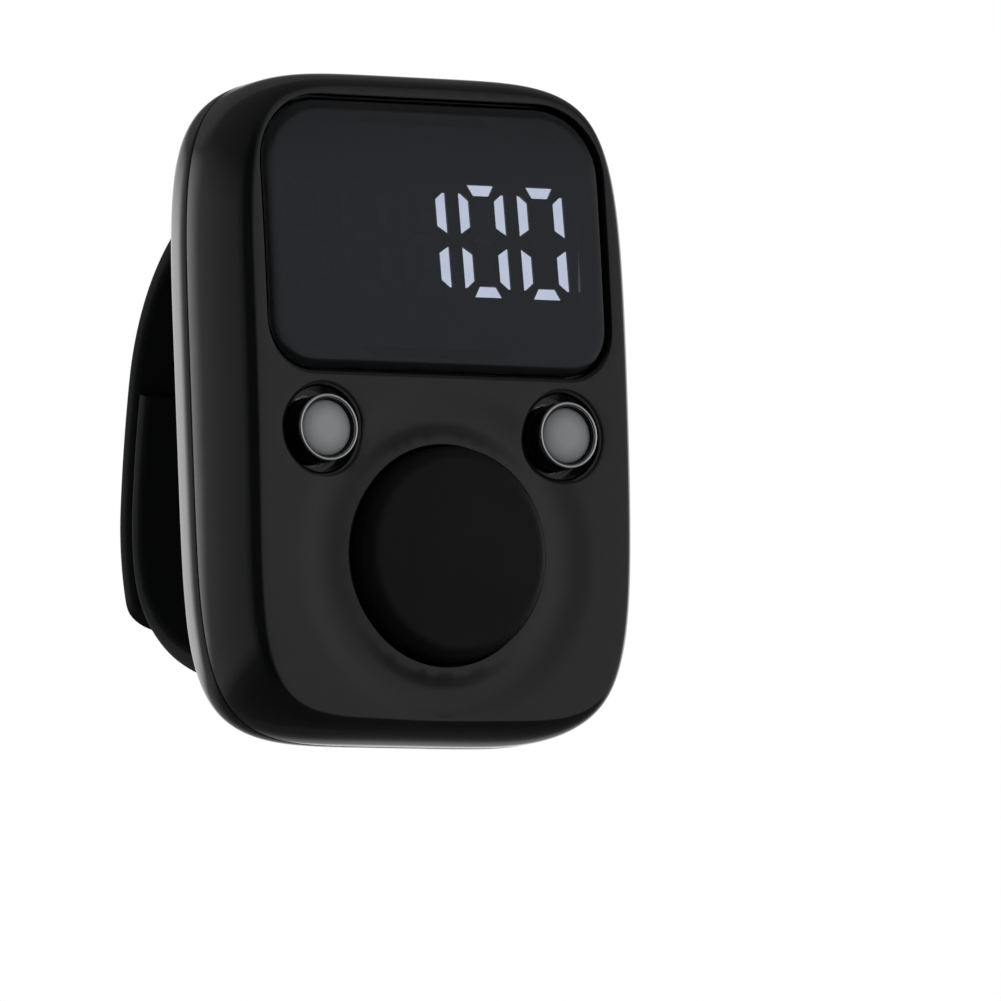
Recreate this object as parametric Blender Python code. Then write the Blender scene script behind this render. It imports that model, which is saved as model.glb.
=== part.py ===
"""Digital finger counter: a hand-sized counting device on a two-part finger strap.

Lengths are in metres and +Z is up. The user reads the display from -Y, X runs to the
right, and the origin is the centre of the back cover's flat rear face, on the finger.
"""
import math

import bmesh
import bpy
from mathutils import Vector

# Housing
HOUSING_WIDTH = 0.0261
HOUSING_HEIGHT = 0.0379
HOUSING_BOTTOM = -HOUSING_HEIGHT / 2
OUTLINE_POWER = 5.3
FACE_RADIUS = 0.2
FACE_APEX_Z = 0.0035
FACE_WALL = 0.0026
FACE_EDGE_WIDTH = 0.0012
FACE_EDGE_DEPTH = 0.00375
SIDE_WALL = 0.0013
SHELL_DEPTH = 0.0058
SEAM_GAP = 0.0001
COVER_WALL = 0.0013
REAR_EDGE_WIDTH = 0.0016
REAR_EDGE_LAND = 0.00015
LIP_HEIGHT = 0.0008
LIP_THICKNESS = 0.0006

# Clearances
FIT_GAP = 0.0001
RUNNING_GAP = 0.00015
TIGHT_GAP = 0.00003

# Window
WINDOW_SIDE_MARGIN = 0.00179
WINDOW_TOP_MARGIN = 0.0017
WINDOW_RISE = 0.02055
WINDOW_WIDTH = HOUSING_WIDTH - 2 * WINDOW_SIDE_MARGIN
WINDOW_HEIGHT = HOUSING_HEIGHT - WINDOW_TOP_MARGIN - WINDOW_RISE
WINDOW_Z = (WINDOW_RISE - WINDOW_TOP_MARGIN) / 2
WINDOW_TOP_CORNER = 0.0038
WINDOW_BOTTOM_CORNER = 0.0029
WINDOW_GROOVE = 0.00012
LENS_THICKNESS = 0.001
LENS_BEVEL_WIDTH = 0.0008
LENS_BEVEL_DROP = 0.00045
TAPE_THICKNESS = 0.00012
LEDGE_WIDTH = 0.0015

# Display
DIGIT_COUNT = 5
DISPLAY_SIDE_MARGIN = 0.001585
DIGIT_SPACE = 0.00153
DIGIT_PITCH = (WINDOW_WIDTH - 2 * DISPLAY_SIDE_MARGIN) / DIGIT_COUNT
DIGIT_HEIGHT_SHARE = 0.3668
DIGIT_HEIGHT = DIGIT_HEIGHT_SHARE * WINDOW_HEIGHT
DIGIT_WIDTH = DIGIT_PITCH - DIGIT_SPACE
DIGIT_SLANT = -0.05
BAR_SHIFT = 0.0001
UPRIGHT_SHORTFALL = 0.00059
UPRIGHT_LENGTH = DIGIT_HEIGHT / 2 - UPRIGHT_SHORTFALL
UPRIGHT_WIDTH = 0.00064
UPRIGHT_BEVEL = 0.00040
UPRIGHT_FLAT = 0.00014
UPRIGHT_SHIFT = 0.000085
UPRIGHT_OFFSET = DIGIT_HEIGHT / 4 + UPRIGHT_SHIFT
CROSSBAR_SHORTFALL = 0.00061
CROSSBAR_LENGTH = DIGIT_WIDTH - CROSSBAR_SHORTFALL
CROSSBAR_WIDTH = 0.00057
CROSSBAR_BEVEL = 0.00034
MIDDLE_BAR_SHORTFALL = 0.00012
COLON_DIAMETER = 0.0006
COLON_SHIFT = 0.000105
COLON_OFFSET = DIGIT_HEIGHT / 4 - COLON_SHIFT
DIGIT_PLATE_THICKNESS = 0.0004
DIGIT_PLATE_MARGIN = 0.0004
CASE_NOSE = 0.0007
CASE_FLANGE = 0.0004
CASE_WALL = 0.0005

# Count button
COUNT_RISE = 0.01029
COUNT_SIDE_MARGIN = 0.007
COUNT_Z = HOUSING_BOTTOM + COUNT_RISE
COUNT_DIAMETER = HOUSING_WIDTH - 2 * COUNT_SIDE_MARGIN
COUNT_PROUD = 0.00145
COUNT_SHOULDER = 0.0009
COUNT_TRAVEL = 0.0005
TROUGH_WIDTH = 0.0038
TROUGH_DEPTH = 0.00025

# Left and right buttons
SMALL_RISE = 0.01723
SMALL_SIDE_MARGIN = 0.0052
SMALL_Z = HOUSING_BOTTOM + SMALL_RISE
SMALL_OFFSET = HOUSING_WIDTH / 2 - SMALL_SIDE_MARGIN
RING_DIAMETER = 0.0038
RING_WALL = 0.0003
RING_PROUD = 0.00056
SMALL_CAP_PROUD = 0.00045
SMALL_CAP_CROWN = 0.00025
RECESS_DIAMETER = 0.0048
RECESS_DEPTH = 0.0012

# Parts that the buttons share
BUTTON_GAP = 0.00015
FLANGE_WIDTH = 0.0006
FLANGE_THICKNESS = 0.0006
PUSHER_LENGTH = 0.00025
PUSHER_DIAMETER = 0.0030
PLUNGER_STANDOFF = COUNT_TRAVEL + FIT_GAP
PLUNGER_DEPTH = 0.00025
COUNT_PLUNGER_DIAMETER = 0.0024
SMALL_PLUNGER_DIAMETER = 0.0016
COUNT_SWITCH_SIZE = 0.0052
SMALL_SWITCH_SIZE = 0.0034
SWITCH_HEIGHT = 0.0008

# Board and what it carries
BOARD_THICKNESS = 0.0008
BOARD_INSET = 0.0024
CONTROLLER_SIZE = (0.0039, 0.0014, 0.0099)
CONTROLLER_SIDE_MARGIN = 0.00485
CONTROLLER_ROOM = 0.0016
CHARGER_SIZE = (0.0016, 0.0011, 0.0029)
CRYSTAL_SIZE = (0.0015, 0.0008, 0.0032)
LEFT_CHIP_SIDE_MARGIN = 0.00385
CHARGER_RISE = 0.01495
CRYSTAL_RISE = 0.02195
SCREW_SIDE_MARGIN = 0.00485
SCREW_RISE = 0.00505
SCREW_OFFSET = HOUSING_WIDTH / 2 - SCREW_SIDE_MARGIN
SCREW_Z = HOUSING_BOTTOM + SCREW_RISE
SCREW_SHANK_DIAMETER = 0.0012
SCREW_SHANK_LENGTH = 0.0024
SCREW_HEAD_DIAMETER = 0.0022
SCREW_HEAD_TOP_DIAMETER = 0.0015
SCREW_HEAD_HEIGHT = 0.0006
BOSS_DIAMETER = 0.0030

# Charging socket
SOCKET_ROOM = 0.00095
SOCKET_WIDTH = 0.0075
SOCKET_Z = SCREW_Z + BOSS_DIAMETER / 2 + SOCKET_ROOM + SOCKET_WIDTH / 2
SOCKET_HEIGHT = 0.00245
SOCKET_LENGTH = 0.0050
SOCKET_WALL = 0.0003
SOCKET_RECESS = 0.0004
TONGUE_WIDTH = 0.0048
TONGUE_THICKNESS = 0.0006

# Battery
BATTERY_SIDE_ROOM = 0.0131
BATTERY_END_ROOM = 0.0179
BATTERY_WIDTH = HOUSING_WIDTH - BATTERY_SIDE_ROOM
BATTERY_HEIGHT = HOUSING_HEIGHT - BATTERY_END_ROOM
BATTERY_THICKNESS = 0.0014
BATTERY_X = -0.0010
BATTERY_ROOM = 0.0002
BATTERY_TAPE = 0.0002
LEAD_DIAMETER = 0.0005
LEAD_SPACING = 0.0015
LEAD_REACH = 0.0012

# Strap
STRAP_SIDE_MARGIN = 0.00555
STRAP_WIDTH = HOUSING_WIDTH - 2 * STRAP_SIDE_MARGIN
STRAP_THICKNESS = 0.0012
STRAP_LEAD = 0.0003
UPPER_ROOT_MARGIN = 0.00575
LOWER_ROOT_RISE = 0.00475
UPPER_ROOT_Z = HOUSING_HEIGHT / 2 - UPPER_ROOT_MARGIN
LOWER_ROOT_Z = HOUSING_BOTTOM + LOWER_ROOT_RISE
ROOT_HEAD_HEIGHT = 0.0032
ROOT_HEAD_THICKNESS = 0.0009
ROOT_HEAD_EDGE = 0.0004
UPPER_BEND_RADIUS = 0.0130
UPPER_BEND_TURN = 74.5
TAIL_FLAT_RADIUS = 0.0600
TAIL_FLAT_TURN = 7.0
TAIL_BEND_RADIUS = 0.0140
TAIL_BEND_TURN = 30.5
TAIL_TIP_LENGTH = 0.0023
TAIL_TIP_POWER = 3.0
HINGE_GAP = 0.0003
LAP_GAP = 0.00018
LAP_START = 0.0006
LAP_END = 0.0112
LOWER_ROOT_HANDLE = 0.0070
LOWER_LAP_HANDLE = 0.0040
HOLE_DIAMETER = 0.0034
HOLE_PITCH = 0.0040
HOLE_COUNT = 3
STUD_PLACE = 0.0098
STUD_NECK_DIAMETER = 0.0022
STUD_HEAD_DIAMETER = 0.0026
STUD_HEAD_TOP_DIAMETER = 0.0016
STUD_HEAD_HEIGHT = 0.0006
STUD_HEAD_SIDE = 0.00035
STUD_BASE_DIAMETER = 0.0036
STUD_BASE_THICKNESS = 0.0005

# Fineness of the round stretches
QUARTER_STEPS = 14
EDGE_STEPS = 4
TROUGH_STEPS = 8
CIRCLE_STEPS = 32
SMALL_CIRCLE_STEPS = 24
COLON_STEPS = 12
LEAD_STEPS = 8
LOWER_STEPS = 12
TIP_STEPS = 7
TIP_END_ANGLE = math.radians(86)
BAND_STEP = 0.0013
SMOOTH_ANGLE = math.radians(35)

# Depths, from the rear face forward
COVER_INNER_Y = -COVER_WALL
TAPE_REAR_Y = COVER_INNER_Y - FIT_GAP
BATTERY_REAR_Y = TAPE_REAR_Y - BATTERY_TAPE - FIT_GAP
BATTERY_FRONT_Y = BATTERY_REAR_Y - BATTERY_THICKNESS
BOARD_REAR_Y = BATTERY_FRONT_Y - BATTERY_ROOM
BOARD_FRONT_Y = BOARD_REAR_Y - BOARD_THICKNESS
SWITCH_FRONT_Y = BOARD_FRONT_Y - FIT_GAP - SWITCH_HEIGHT
PLUNGER_FRONT_Y = SWITCH_FRONT_Y - PLUNGER_STANDOFF
PUSHER_REAR_Y = PLUNGER_FRONT_Y - FIT_GAP
FLANGE_REAR_Y = PUSHER_REAR_Y - PUSHER_LENGTH
FLANGE_FRONT_Y = FLANGE_REAR_Y - FLANGE_THICKNESS
SHELL_INNER_Y = FLANGE_FRONT_Y - RUNNING_GAP
FACE_APEX_Y = SHELL_INNER_Y - FACE_WALL
SEAM_Y = FACE_APEX_Y + SHELL_DEPTH


def face_y(z):
    """Depth of the bowed face at height z."""
    return FACE_APEX_Y + (z - FACE_APEX_Z) ** 2 / (2 * FACE_RADIUS)


def behind_face(depth):
    """A surface that keeps this depth behind the bowed face."""
    return lambda z: face_y(z) + depth


def behind_tangent(centre_z, depth):
    """A flat surface this depth behind the plane that touches the face at centre_z."""
    slope = (centre_z - FACE_APEX_Z) / FACE_RADIUS
    return lambda z: face_y(centre_z) + slope * (z - centre_z) + depth


def level(y):
    """A flat surface square to Y."""
    return lambda z: y


# Outlines: the right half, from top to bottom, as (x, z)

def housing_outline(inset):
    """Superellipse of the housing, drawn in by inset."""
    half_width = HOUSING_WIDTH / 2 - inset
    half_height = HOUSING_HEIGHT / 2 - inset
    points = []
    for step in range(2 * QUARTER_STEPS):
        share = (step + 0.5) / QUARTER_STEPS
        near_side = 1 - share if share < 1 else share - 1
        angle = math.pi / 2 * near_side ** 2 * (3 - 2 * near_side)
        x = half_width * math.cos(angle) ** (2 / OUTLINE_POWER)
        z = half_height * math.sin(angle) ** (2 / OUTLINE_POWER)
        points.append((x, z if share < 1 else -z))
    return points


def window_outline(inset, corner_steps=5, side_steps=5):
    """Rounded rectangle of the window opening, drawn in by inset."""
    half_width = WINDOW_WIDTH / 2 - inset
    half_height = WINDOW_HEIGHT / 2 - inset
    points = []
    for sign, corner in ((1, WINDOW_TOP_CORNER), (-1, WINDOW_BOTTOM_CORNER)):
        radius = max(corner - inset, 2 * TIGHT_GAP)
        arc = []
        for step in range(corner_steps + 1):
            angle = math.pi / 2 * step / corner_steps
            x = half_width - radius + radius * math.sin(angle)
            z = half_height - radius + radius * math.cos(angle)
            arc.append((x, WINDOW_Z + sign * z))
        points += arc if sign > 0 else arc[::-1]
    top, bottom = points[corner_steps], points[corner_steps + 1]
    side = []
    for step in range(1, side_steps):
        share = step / side_steps
        side.append((half_width, top[1] + share * (bottom[1] - top[1])))
    return points[: corner_steps + 1] + side + points[corner_steps + 1:]


def circle_outline(centre_z, radius, steps=CIRCLE_STEPS):
    """Circle round x = 0 at this height."""
    points = []
    for step in range(steps // 2):
        angle = math.pi * (step + 0.5) / (steps // 2)
        points.append((radius * math.sin(angle), centre_z + radius * math.cos(angle)))
    return points


# Mesh helpers

def material(name, colour, roughness, metallic=0.0):
    """Principled material of one piece."""
    made = bpy.data.materials.new(name)
    made.use_nodes = True
    shader = made.node_tree.nodes["Principled BSDF"]
    shader.inputs["Base Color"].default_value = (*colour, 1.0)
    shader.inputs["Roughness"].default_value = roughness
    shader.inputs["Metallic"].default_value = metallic
    made.diffuse_color = (*colour, 1.0)
    return made


def mesh_object(name, points, faces, finish=None):
    """Object from points and faces, with its faces turned outwards."""
    mesh = bpy.data.meshes.new(name)
    mesh.from_pydata(points, [], faces)
    work = bmesh.new()
    work.from_mesh(mesh)
    bmesh.ops.recalc_face_normals(work, faces=work.faces)
    work.to_mesh(mesh)
    work.free()
    mesh.shade_smooth()
    mesh.set_sharp_from_angle(angle=SMOOTH_ANGLE)
    made = bpy.data.objects.new(name, mesh)
    bpy.context.scene.collection.objects.link(made)
    if finish:
        mesh.materials.append(finish)
    return made


def loft(name, rings, finish=None):
    """Solid through rings that mirror left to right.

    Each ring is (outline, surface): the right half of an outline and the depth at each
    height. The two ends are closed with strips, so that an end can be bowed.
    """
    count = len(rings[0][0])
    points = []
    faces = []
    for outline, surface in rings:
        points += [(x, surface(z), z) for x, z in outline]
        points += [(-x, surface(z), z) for x, z in reversed(outline)]
    around = 2 * count
    for ring in range(len(rings) - 1):
        for step in range(around):
            a = ring * around + step
            b = ring * around + (step + 1) % around
            faces.append((a, b, b + around, a + around))
    for start in (0, (len(rings) - 1) * around):
        for step in range(count - 1):
            right, left = start + step, start + around - 1 - step
            faces.append((right, right + 1, left - 1, left))
    return mesh_object(name, points, faces, finish)


def turned(name, profile, steps, finish=None):
    """Solid turned about its own Z axis from (radius, height) points, top to bottom."""
    points = []
    faces = []
    for radius, height in profile:
        for step in range(steps):
            angle = 2 * math.pi * (step + 0.5) / steps
            points.append((radius * math.cos(angle), radius * math.sin(angle), height))
    for ring in range(len(profile) - 1):
        for step in range(steps):
            a = ring * steps + step
            b = ring * steps + (step + 1) % steps
            faces.append((a, b, b + steps, a + steps))
    faces.append(tuple(range(steps)))
    faces.append(tuple(range((len(profile) - 1) * steps, len(profile) * steps)))
    return mesh_object(name, points, faces, finish)


def box(name, low, high, finish=None):
    """Block between two corners."""
    xs, ys, zs = zip(low, high)
    points = [(x, y, z) for x in xs for y in ys for z in zs]
    faces = [(0, 1, 3, 2), (4, 6, 7, 5), (0, 4, 5, 1), (2, 3, 7, 6), (0, 2, 6, 4), (1, 5, 7, 3)]
    return mesh_object(name, points, faces, finish)


def centred_box(name, size, centre, finish=None):
    """Block of this size round a centre."""
    low = [c - s / 2 for c, s in zip(centre, size)]
    high = [c + s / 2 for c, s in zip(centre, size)]
    return box(name, low, high, finish)


def join_or_cut(body, tool, operation):
    """Boolean of body with a hidden tool object."""
    modifier = body.modifiers.new(operation.lower() + "_" + tool.name, "BOOLEAN")
    modifier.operation = operation
    modifier.solver = "EXACT"
    modifier.object = tool
    tool.hide_render = True
    tool.display_type = "WIRE"


def cut(body, tool):
    """Takes the tool's shape out of the body."""
    join_or_cut(body, tool, "DIFFERENCE")


def join(body, tool):
    """Makes the tool's shape part of the body."""
    join_or_cut(body, tool, "UNION")


def move_origin(made, place):
    """Puts the object's origin at a place and leaves its shape where it is."""
    offset = Vector(place)
    for vertex in made.data.vertices:
        vertex.co -= offset
    made.location = offset


def slide_x(made, distance):
    """Shifts a piece that was made round x = 0."""
    made.location.x += distance
    return made


def bore(name, x, z, diameter, front_y, rear_y):
    """Hidden cylinder along Y, for a round hole or boss."""
    steps = SMALL_CIRCLE_STEPS
    outline = circle_outline(z, diameter / 2, steps)
    return slide_x(loft(name, [(outline, level(front_y)), (outline, level(rear_y))]), x)


# Housing

def window_pocket():
    """Seat of the window in the bowed face."""
    outline = window_outline(0)
    floor = LENS_THICKNESS + TAPE_THICKNESS + 2 * TIGHT_GAP
    return loft("window_pocket", [(outline, behind_face(-FACE_WALL)), (outline, behind_face(floor))])


def display_opening():
    """Opening through the ledge under the window."""
    outline = window_outline(LEDGE_WIDTH)
    return loft(
        "display_opening",
        [(outline, level(FACE_APEX_Y - FACE_WALL)), (outline, level(SHELL_INNER_Y + FACE_WALL))],
    )


def trough():
    """Shallow ring-shaped hollow that follows the face round the count button."""
    inner = COUNT_DIAMETER / 2
    rings = [(circle_outline(COUNT_Z, inner + TROUGH_WIDTH), behind_face(-FACE_WALL))]
    for step in range(TROUGH_STEPS + 1):
        share = step / TROUGH_STEPS
        radius = inner + TROUGH_WIDTH * (1 - share)
        depth = TROUGH_DEPTH * math.sin(math.pi * share) ** 2
        rings.append((circle_outline(COUNT_Z, radius), behind_face(depth - TIGHT_GAP)))
    return loft("trough", rings)


def charging_port():
    """Opening in the side wall for the charging socket's mouth."""
    size = (
        4 * SIDE_WALL,
        SOCKET_HEIGHT + 2 * BUTTON_GAP,
        SOCKET_WIDTH + 2 * BUTTON_GAP,
    )
    return centred_box("charging_port", size, (HOUSING_WIDTH / 2, socket_y(), SOCKET_Z))


def socket_y():
    """The socket sits at the middle of the board's thickness."""
    return (BOARD_FRONT_Y + BOARD_REAR_Y) / 2


def front_shell(finish, port):
    """Front half of the case, open at the seam."""
    rings = []
    for step in range(EDGE_STEPS + 3):
        angle = math.pi / 2 * step / (EDGE_STEPS + 2)
        inset = FACE_EDGE_WIDTH * (1 - math.sin(angle))
        depth = FACE_EDGE_DEPTH * (1 - math.cos(angle))
        rings.append((housing_outline(inset), behind_face(depth)))
    rings.append((housing_outline(0), level(SEAM_Y)))
    rings.append((housing_outline(SIDE_WALL), level(SEAM_Y)))
    rings.append((housing_outline(SIDE_WALL), level(SHELL_INNER_Y)))
    shell = loft("front_shell", rings, finish)
    boss_rear_y = BOARD_FRONT_Y - FIT_GAP
    for side, sign in (("left", -1), ("right", 1)):
        x = sign * SCREW_OFFSET
        boss = bore(side + "_boss", x, SCREW_Z, BOSS_DIAMETER, SHELL_INNER_Y - FIT_GAP, boss_rear_y)
        join(shell, boss)
    for side, sign in (("left", -1), ("right", 1)):
        x = sign * SCREW_OFFSET
        pilot = SCREW_SHANK_DIAMETER + 2 * TIGHT_GAP
        depth = SCREW_SHANK_LENGTH - BOARD_THICKNESS + FIT_GAP
        cut(shell, bore(side + "_pilot", x, SCREW_Z, pilot, boss_rear_y - depth, boss_rear_y + FIT_GAP))
        recess = circle_outline(SMALL_Z, RECESS_DIAMETER / 2, SMALL_CIRCLE_STEPS)
        recess_rings = [(recess, behind_face(-FACE_WALL)), (recess, behind_face(RECESS_DEPTH))]
        cut(shell, slide_x(loft(side + "_recess", recess_rings), sign * SMALL_OFFSET))
        hole = RING_DIAMETER + 2 * BUTTON_GAP
        low_y, high_y = FACE_APEX_Y - FACE_WALL, SHELL_INNER_Y + FACE_WALL
        cut(shell, bore(side + "_button_hole", sign * SMALL_OFFSET, SMALL_Z, hole, low_y, high_y))
    cut(shell, trough())
    count_hole = circle_outline(COUNT_Z, COUNT_DIAMETER / 2 + BUTTON_GAP)
    hole_rings = [(count_hole, behind_face(-FACE_WALL)), (count_hole, level(SHELL_INNER_Y + FACE_WALL))]
    cut(shell, loft("count_hole", hole_rings))
    cut(shell, window_pocket())
    cut(shell, display_opening())
    cut(shell, port)
    return shell


def back_cover(finish, port):
    """Rear half of the case, with a lip inside the seam and a slot for each strap root."""
    lip_outer = SIDE_WALL + FIT_GAP
    lip_inner = lip_outer + LIP_THICKNESS
    edge_depth = -SEAM_Y - SEAM_GAP - REAR_EDGE_LAND
    rings = []
    for step in range(EDGE_STEPS + 2):
        angle = math.pi / 2 * step / (EDGE_STEPS + 1)
        inset = REAR_EDGE_WIDTH * (1 - math.sin(angle))
        rings.append((housing_outline(inset), level(-edge_depth * (1 - math.cos(angle)))))
    rings.append((housing_outline(0), level(SEAM_Y + SEAM_GAP)))
    rings.append((housing_outline(lip_outer), level(SEAM_Y + SEAM_GAP)))
    rings.append((housing_outline(lip_outer), level(SEAM_Y - LIP_HEIGHT)))
    rings.append((housing_outline(lip_inner), level(SEAM_Y - LIP_HEIGHT)))
    rings.append((housing_outline(lip_inner), level(COVER_INNER_Y)))
    cover = loft("back_cover", rings, finish)
    for name, z in (("upper_slot", UPPER_ROOT_Z), ("lower_slot", LOWER_ROOT_Z)):
        size = (STRAP_WIDTH + 2 * FIT_GAP, 4 * COVER_WALL, STRAP_THICKNESS + 2 * FIT_GAP)
        cut(cover, centred_box(name, size, (0, -COVER_WALL / 2, z)))
    cut(cover, port)
    return cover


# Window and display

def display_window(finish):
    """Clear window with a rounded front edge, bowed like the face."""
    rings = []
    for step in range(EDGE_STEPS + 1):
        angle = math.pi / 2 * step / EDGE_STEPS
        inset = WINDOW_GROOVE + LENS_BEVEL_WIDTH * (1 - math.sin(angle))
        drop = LENS_BEVEL_DROP * (1 - math.cos(angle))
        rings.append((window_outline(inset), behind_face(drop)))
    rings.append((window_outline(WINDOW_GROOVE), behind_face(LENS_THICKNESS)))
    return loft("display_window", rings, finish)


def window_tape(finish):
    """Adhesive frame between the window and its ledge."""
    front = LENS_THICKNESS + TIGHT_GAP
    outline = window_outline(WINDOW_GROOVE)
    rings = [(outline, behind_face(front)), (outline, behind_face(front + TAPE_THICKNESS))]
    tape = loft("window_tape", rings, finish)
    opening = window_outline(LEDGE_WIDTH - TIGHT_GAP)
    opening_rings = [(opening, behind_face(0)), (opening, behind_face(front + FACE_WALL))]
    cut(tape, loft("tape_opening", opening_rings))
    return tape


def digit_x(index):
    """Middle of a digit; digit 0 is the left one."""
    return (index - (DIGIT_COUNT - 1) / 2) * DIGIT_PITCH


def grown(corners, amount):
    """Anticlockwise convex outline, grown by this amount on every side."""
    found = []
    count = len(corners)
    for index in range(count):
        before, here, after = (Vector(corners[(index + turn) % count]) for turn in (-1, 0, 1))
        a = (here - before).normalized()
        b = (after - here).normalized()
        normal_a, normal_b = Vector((a.y, -a.x)), Vector((b.y, -b.x))
        found.append(here + (normal_a + normal_b) * amount / (1 + normal_a.dot(normal_b)))
    return found


def digit_outlines(colon):
    """Outlines of a digit's bars, and of its colon, round the digit's middle."""
    along, across = CROSSBAR_LENGTH / 2, CROSSBAR_WIDTH / 2
    short = along - CROSSBAR_BEVEL
    tip = along - MIDDLE_BAR_SHORTFALL
    top = DIGIT_HEIGHT / 2
    outlines = [
        [(-tip, 0), (across - tip, -across), (tip - across, -across),
         (tip, 0), (tip - across, across), (across - tip, across)],
        [(-short, top - across), (short, top - across), (along, top + across), (-along, top + across)],
        [(-along, -top - across), (along, -top - across), (short, across - top), (-short, across - top)],
    ]
    near, far = DIGIT_WIDTH / 2 - UPRIGHT_WIDTH / 2, DIGIT_WIDTH / 2 + UPRIGHT_WIDTH / 2
    low, high = UPRIGHT_OFFSET - UPRIGHT_LENGTH / 2, UPRIGHT_OFFSET + UPRIGHT_LENGTH / 2
    upright = [(near, low + UPRIGHT_BEVEL), (far, low), (far, high),
               (far - UPRIGHT_FLAT, high), (near, high - UPRIGHT_BEVEL)]
    outlines.append(upright)
    outlines.append([(-x, -z) for x, z in upright])
    outlines.append([(-x, z) for x, z in reversed(upright)])
    outlines.append([(x, -z) for x, z in reversed(upright)])
    if colon:
        for z in (-COLON_OFFSET, COLON_OFFSET):
            turns = [2 * math.pi * (step + 0.5) / COLON_STEPS for step in range(COLON_STEPS)]
            radius = COLON_DIAMETER / 2
            outlines.append([(radius * math.cos(a), z + radius * math.sin(a)) for a in turns])
    return outlines


def segment_bars(name, index, grow, front_y, rear_y):
    """Bars of one digit, as separate closed shells in one object."""
    points = []
    faces = []
    for outline in digit_outlines(index == DIGIT_COUNT // 2):
        corners = grown(outline, grow)
        start = len(points)
        for y in (front_y, rear_y):
            for x, z in corners:
                points.append((digit_x(index) + BAR_SHIFT + x + DIGIT_SLANT * z, y, WINDOW_Z + z))
        count = len(corners)
        faces.append(tuple(range(start, start + count)))
        faces.append(tuple(range(start + count, start + 2 * count)))
        for corner in range(count):
            a, b = start + corner, start + (corner + 1) % count
            faces.append((a, b, b + count, a + count))
    return mesh_object(name, points, faces)


def case_front_y():
    """Front of the display case, in the opening of the ledge."""
    return SHELL_INNER_Y - CASE_NOSE


def plate_front_y():
    """Front of the plate that joins the bars of a digit."""
    return SWITCH_FRONT_Y - DIGIT_PLATE_THICKNESS


def display_case(finish):
    """Opaque block that keeps the light of each segment apart."""
    nose = window_outline(LEDGE_WIDTH + BUTTON_GAP)
    flange = window_outline(LEDGE_WIDTH + BUTTON_GAP - CASE_FLANGE)
    step_y = SHELL_INNER_Y + FIT_GAP
    rings = [
        (nose, level(case_front_y())),
        (nose, level(step_y)),
        (flange, level(step_y)),
        (flange, level(BOARD_FRONT_Y - FIT_GAP)),
    ]
    case = loft("display_case", rings, finish)
    pocket_width = DIGIT_COUNT * DIGIT_PITCH + 2 * CASE_WALL
    size = (pocket_width, 2 * (BOARD_FRONT_Y - plate_front_y()), plate_height() + 2 * CASE_WALL)
    cut(case, centred_box("case_pocket", size, (0, BOARD_FRONT_Y, WINDOW_Z)))
    for index in range(DIGIT_COUNT):
        name = "digit_slots_" + str(index + 1)
        front_y, rear_y = case_front_y() - CASE_NOSE, BOARD_FRONT_Y
        cut(case, segment_bars(name, index, TIGHT_GAP, front_y, rear_y))
    return case


def plate_height():
    """Height of the plate behind one digit."""
    return DIGIT_HEIGHT + CROSSBAR_WIDTH + 2 * DIGIT_PLATE_MARGIN


def digit(index, finish):
    """Light guide of one digit: a plate with bars that reach the case's front."""
    front_y = plate_front_y() + FIT_GAP
    rear_y = front_y + DIGIT_PLATE_THICKNESS
    width = DIGIT_PITCH - 2 * FIT_GAP
    low = (digit_x(index) - width / 2, front_y, WINDOW_Z - plate_height() / 2)
    high = (digit_x(index) + width / 2, rear_y, WINDOW_Z + plate_height() / 2)
    name = "digit_" + str(index + 1)
    plate = box(name, low, high, finish)
    bars_rear_y = (front_y + rear_y) / 2
    bars = segment_bars(name + "_bars", index, 0, case_front_y() + FIT_GAP, bars_rear_y)
    join(plate, bars)
    return plate


# Buttons

def axis_empty(name, x, centre_z):
    """Empty on a button's sliding axis, at the face."""
    empty = bpy.data.objects.new(name, None)
    empty.location = (x, face_y(centre_z), centre_z)
    empty.empty_display_size = RING_DIAMETER
    bpy.context.scene.collection.objects.link(empty)
    return empty


def hang_on(made, empty):
    """Gives a moving piece its axis empty's origin, and the empty as its parent."""
    move_origin(made, (0, empty.location.y, empty.location.z))
    made.parent = empty
    made.location = (0, 0, 0)


def count_button(finish, axis):
    """Large button: a rounded top that leans with the face, a skirt, a flange and a pusher."""
    skirt = COUNT_DIAMETER / 2
    rings = []
    for step in range(EDGE_STEPS + 1):
        angle = math.pi / 2 * step / EDGE_STEPS
        radius = skirt - COUNT_SHOULDER * (1 - math.sin(angle))
        depth = COUNT_SHOULDER * (1 - math.cos(angle)) - COUNT_PROUD
        rings.append((circle_outline(COUNT_Z, radius), behind_tangent(COUNT_Z, depth)))
    flange = skirt + FLANGE_WIDTH
    pusher = PUSHER_DIAMETER / 2
    for radius, y in (
        (skirt, FLANGE_FRONT_Y),
        (flange, FLANGE_FRONT_Y),
        (flange, FLANGE_REAR_Y),
        (pusher, FLANGE_REAR_Y),
        (pusher, PUSHER_REAR_Y),
    ):
        rings.append((circle_outline(COUNT_Z, radius), level(y)))
    hang_on(loft("count_button", rings, finish), axis)


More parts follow.
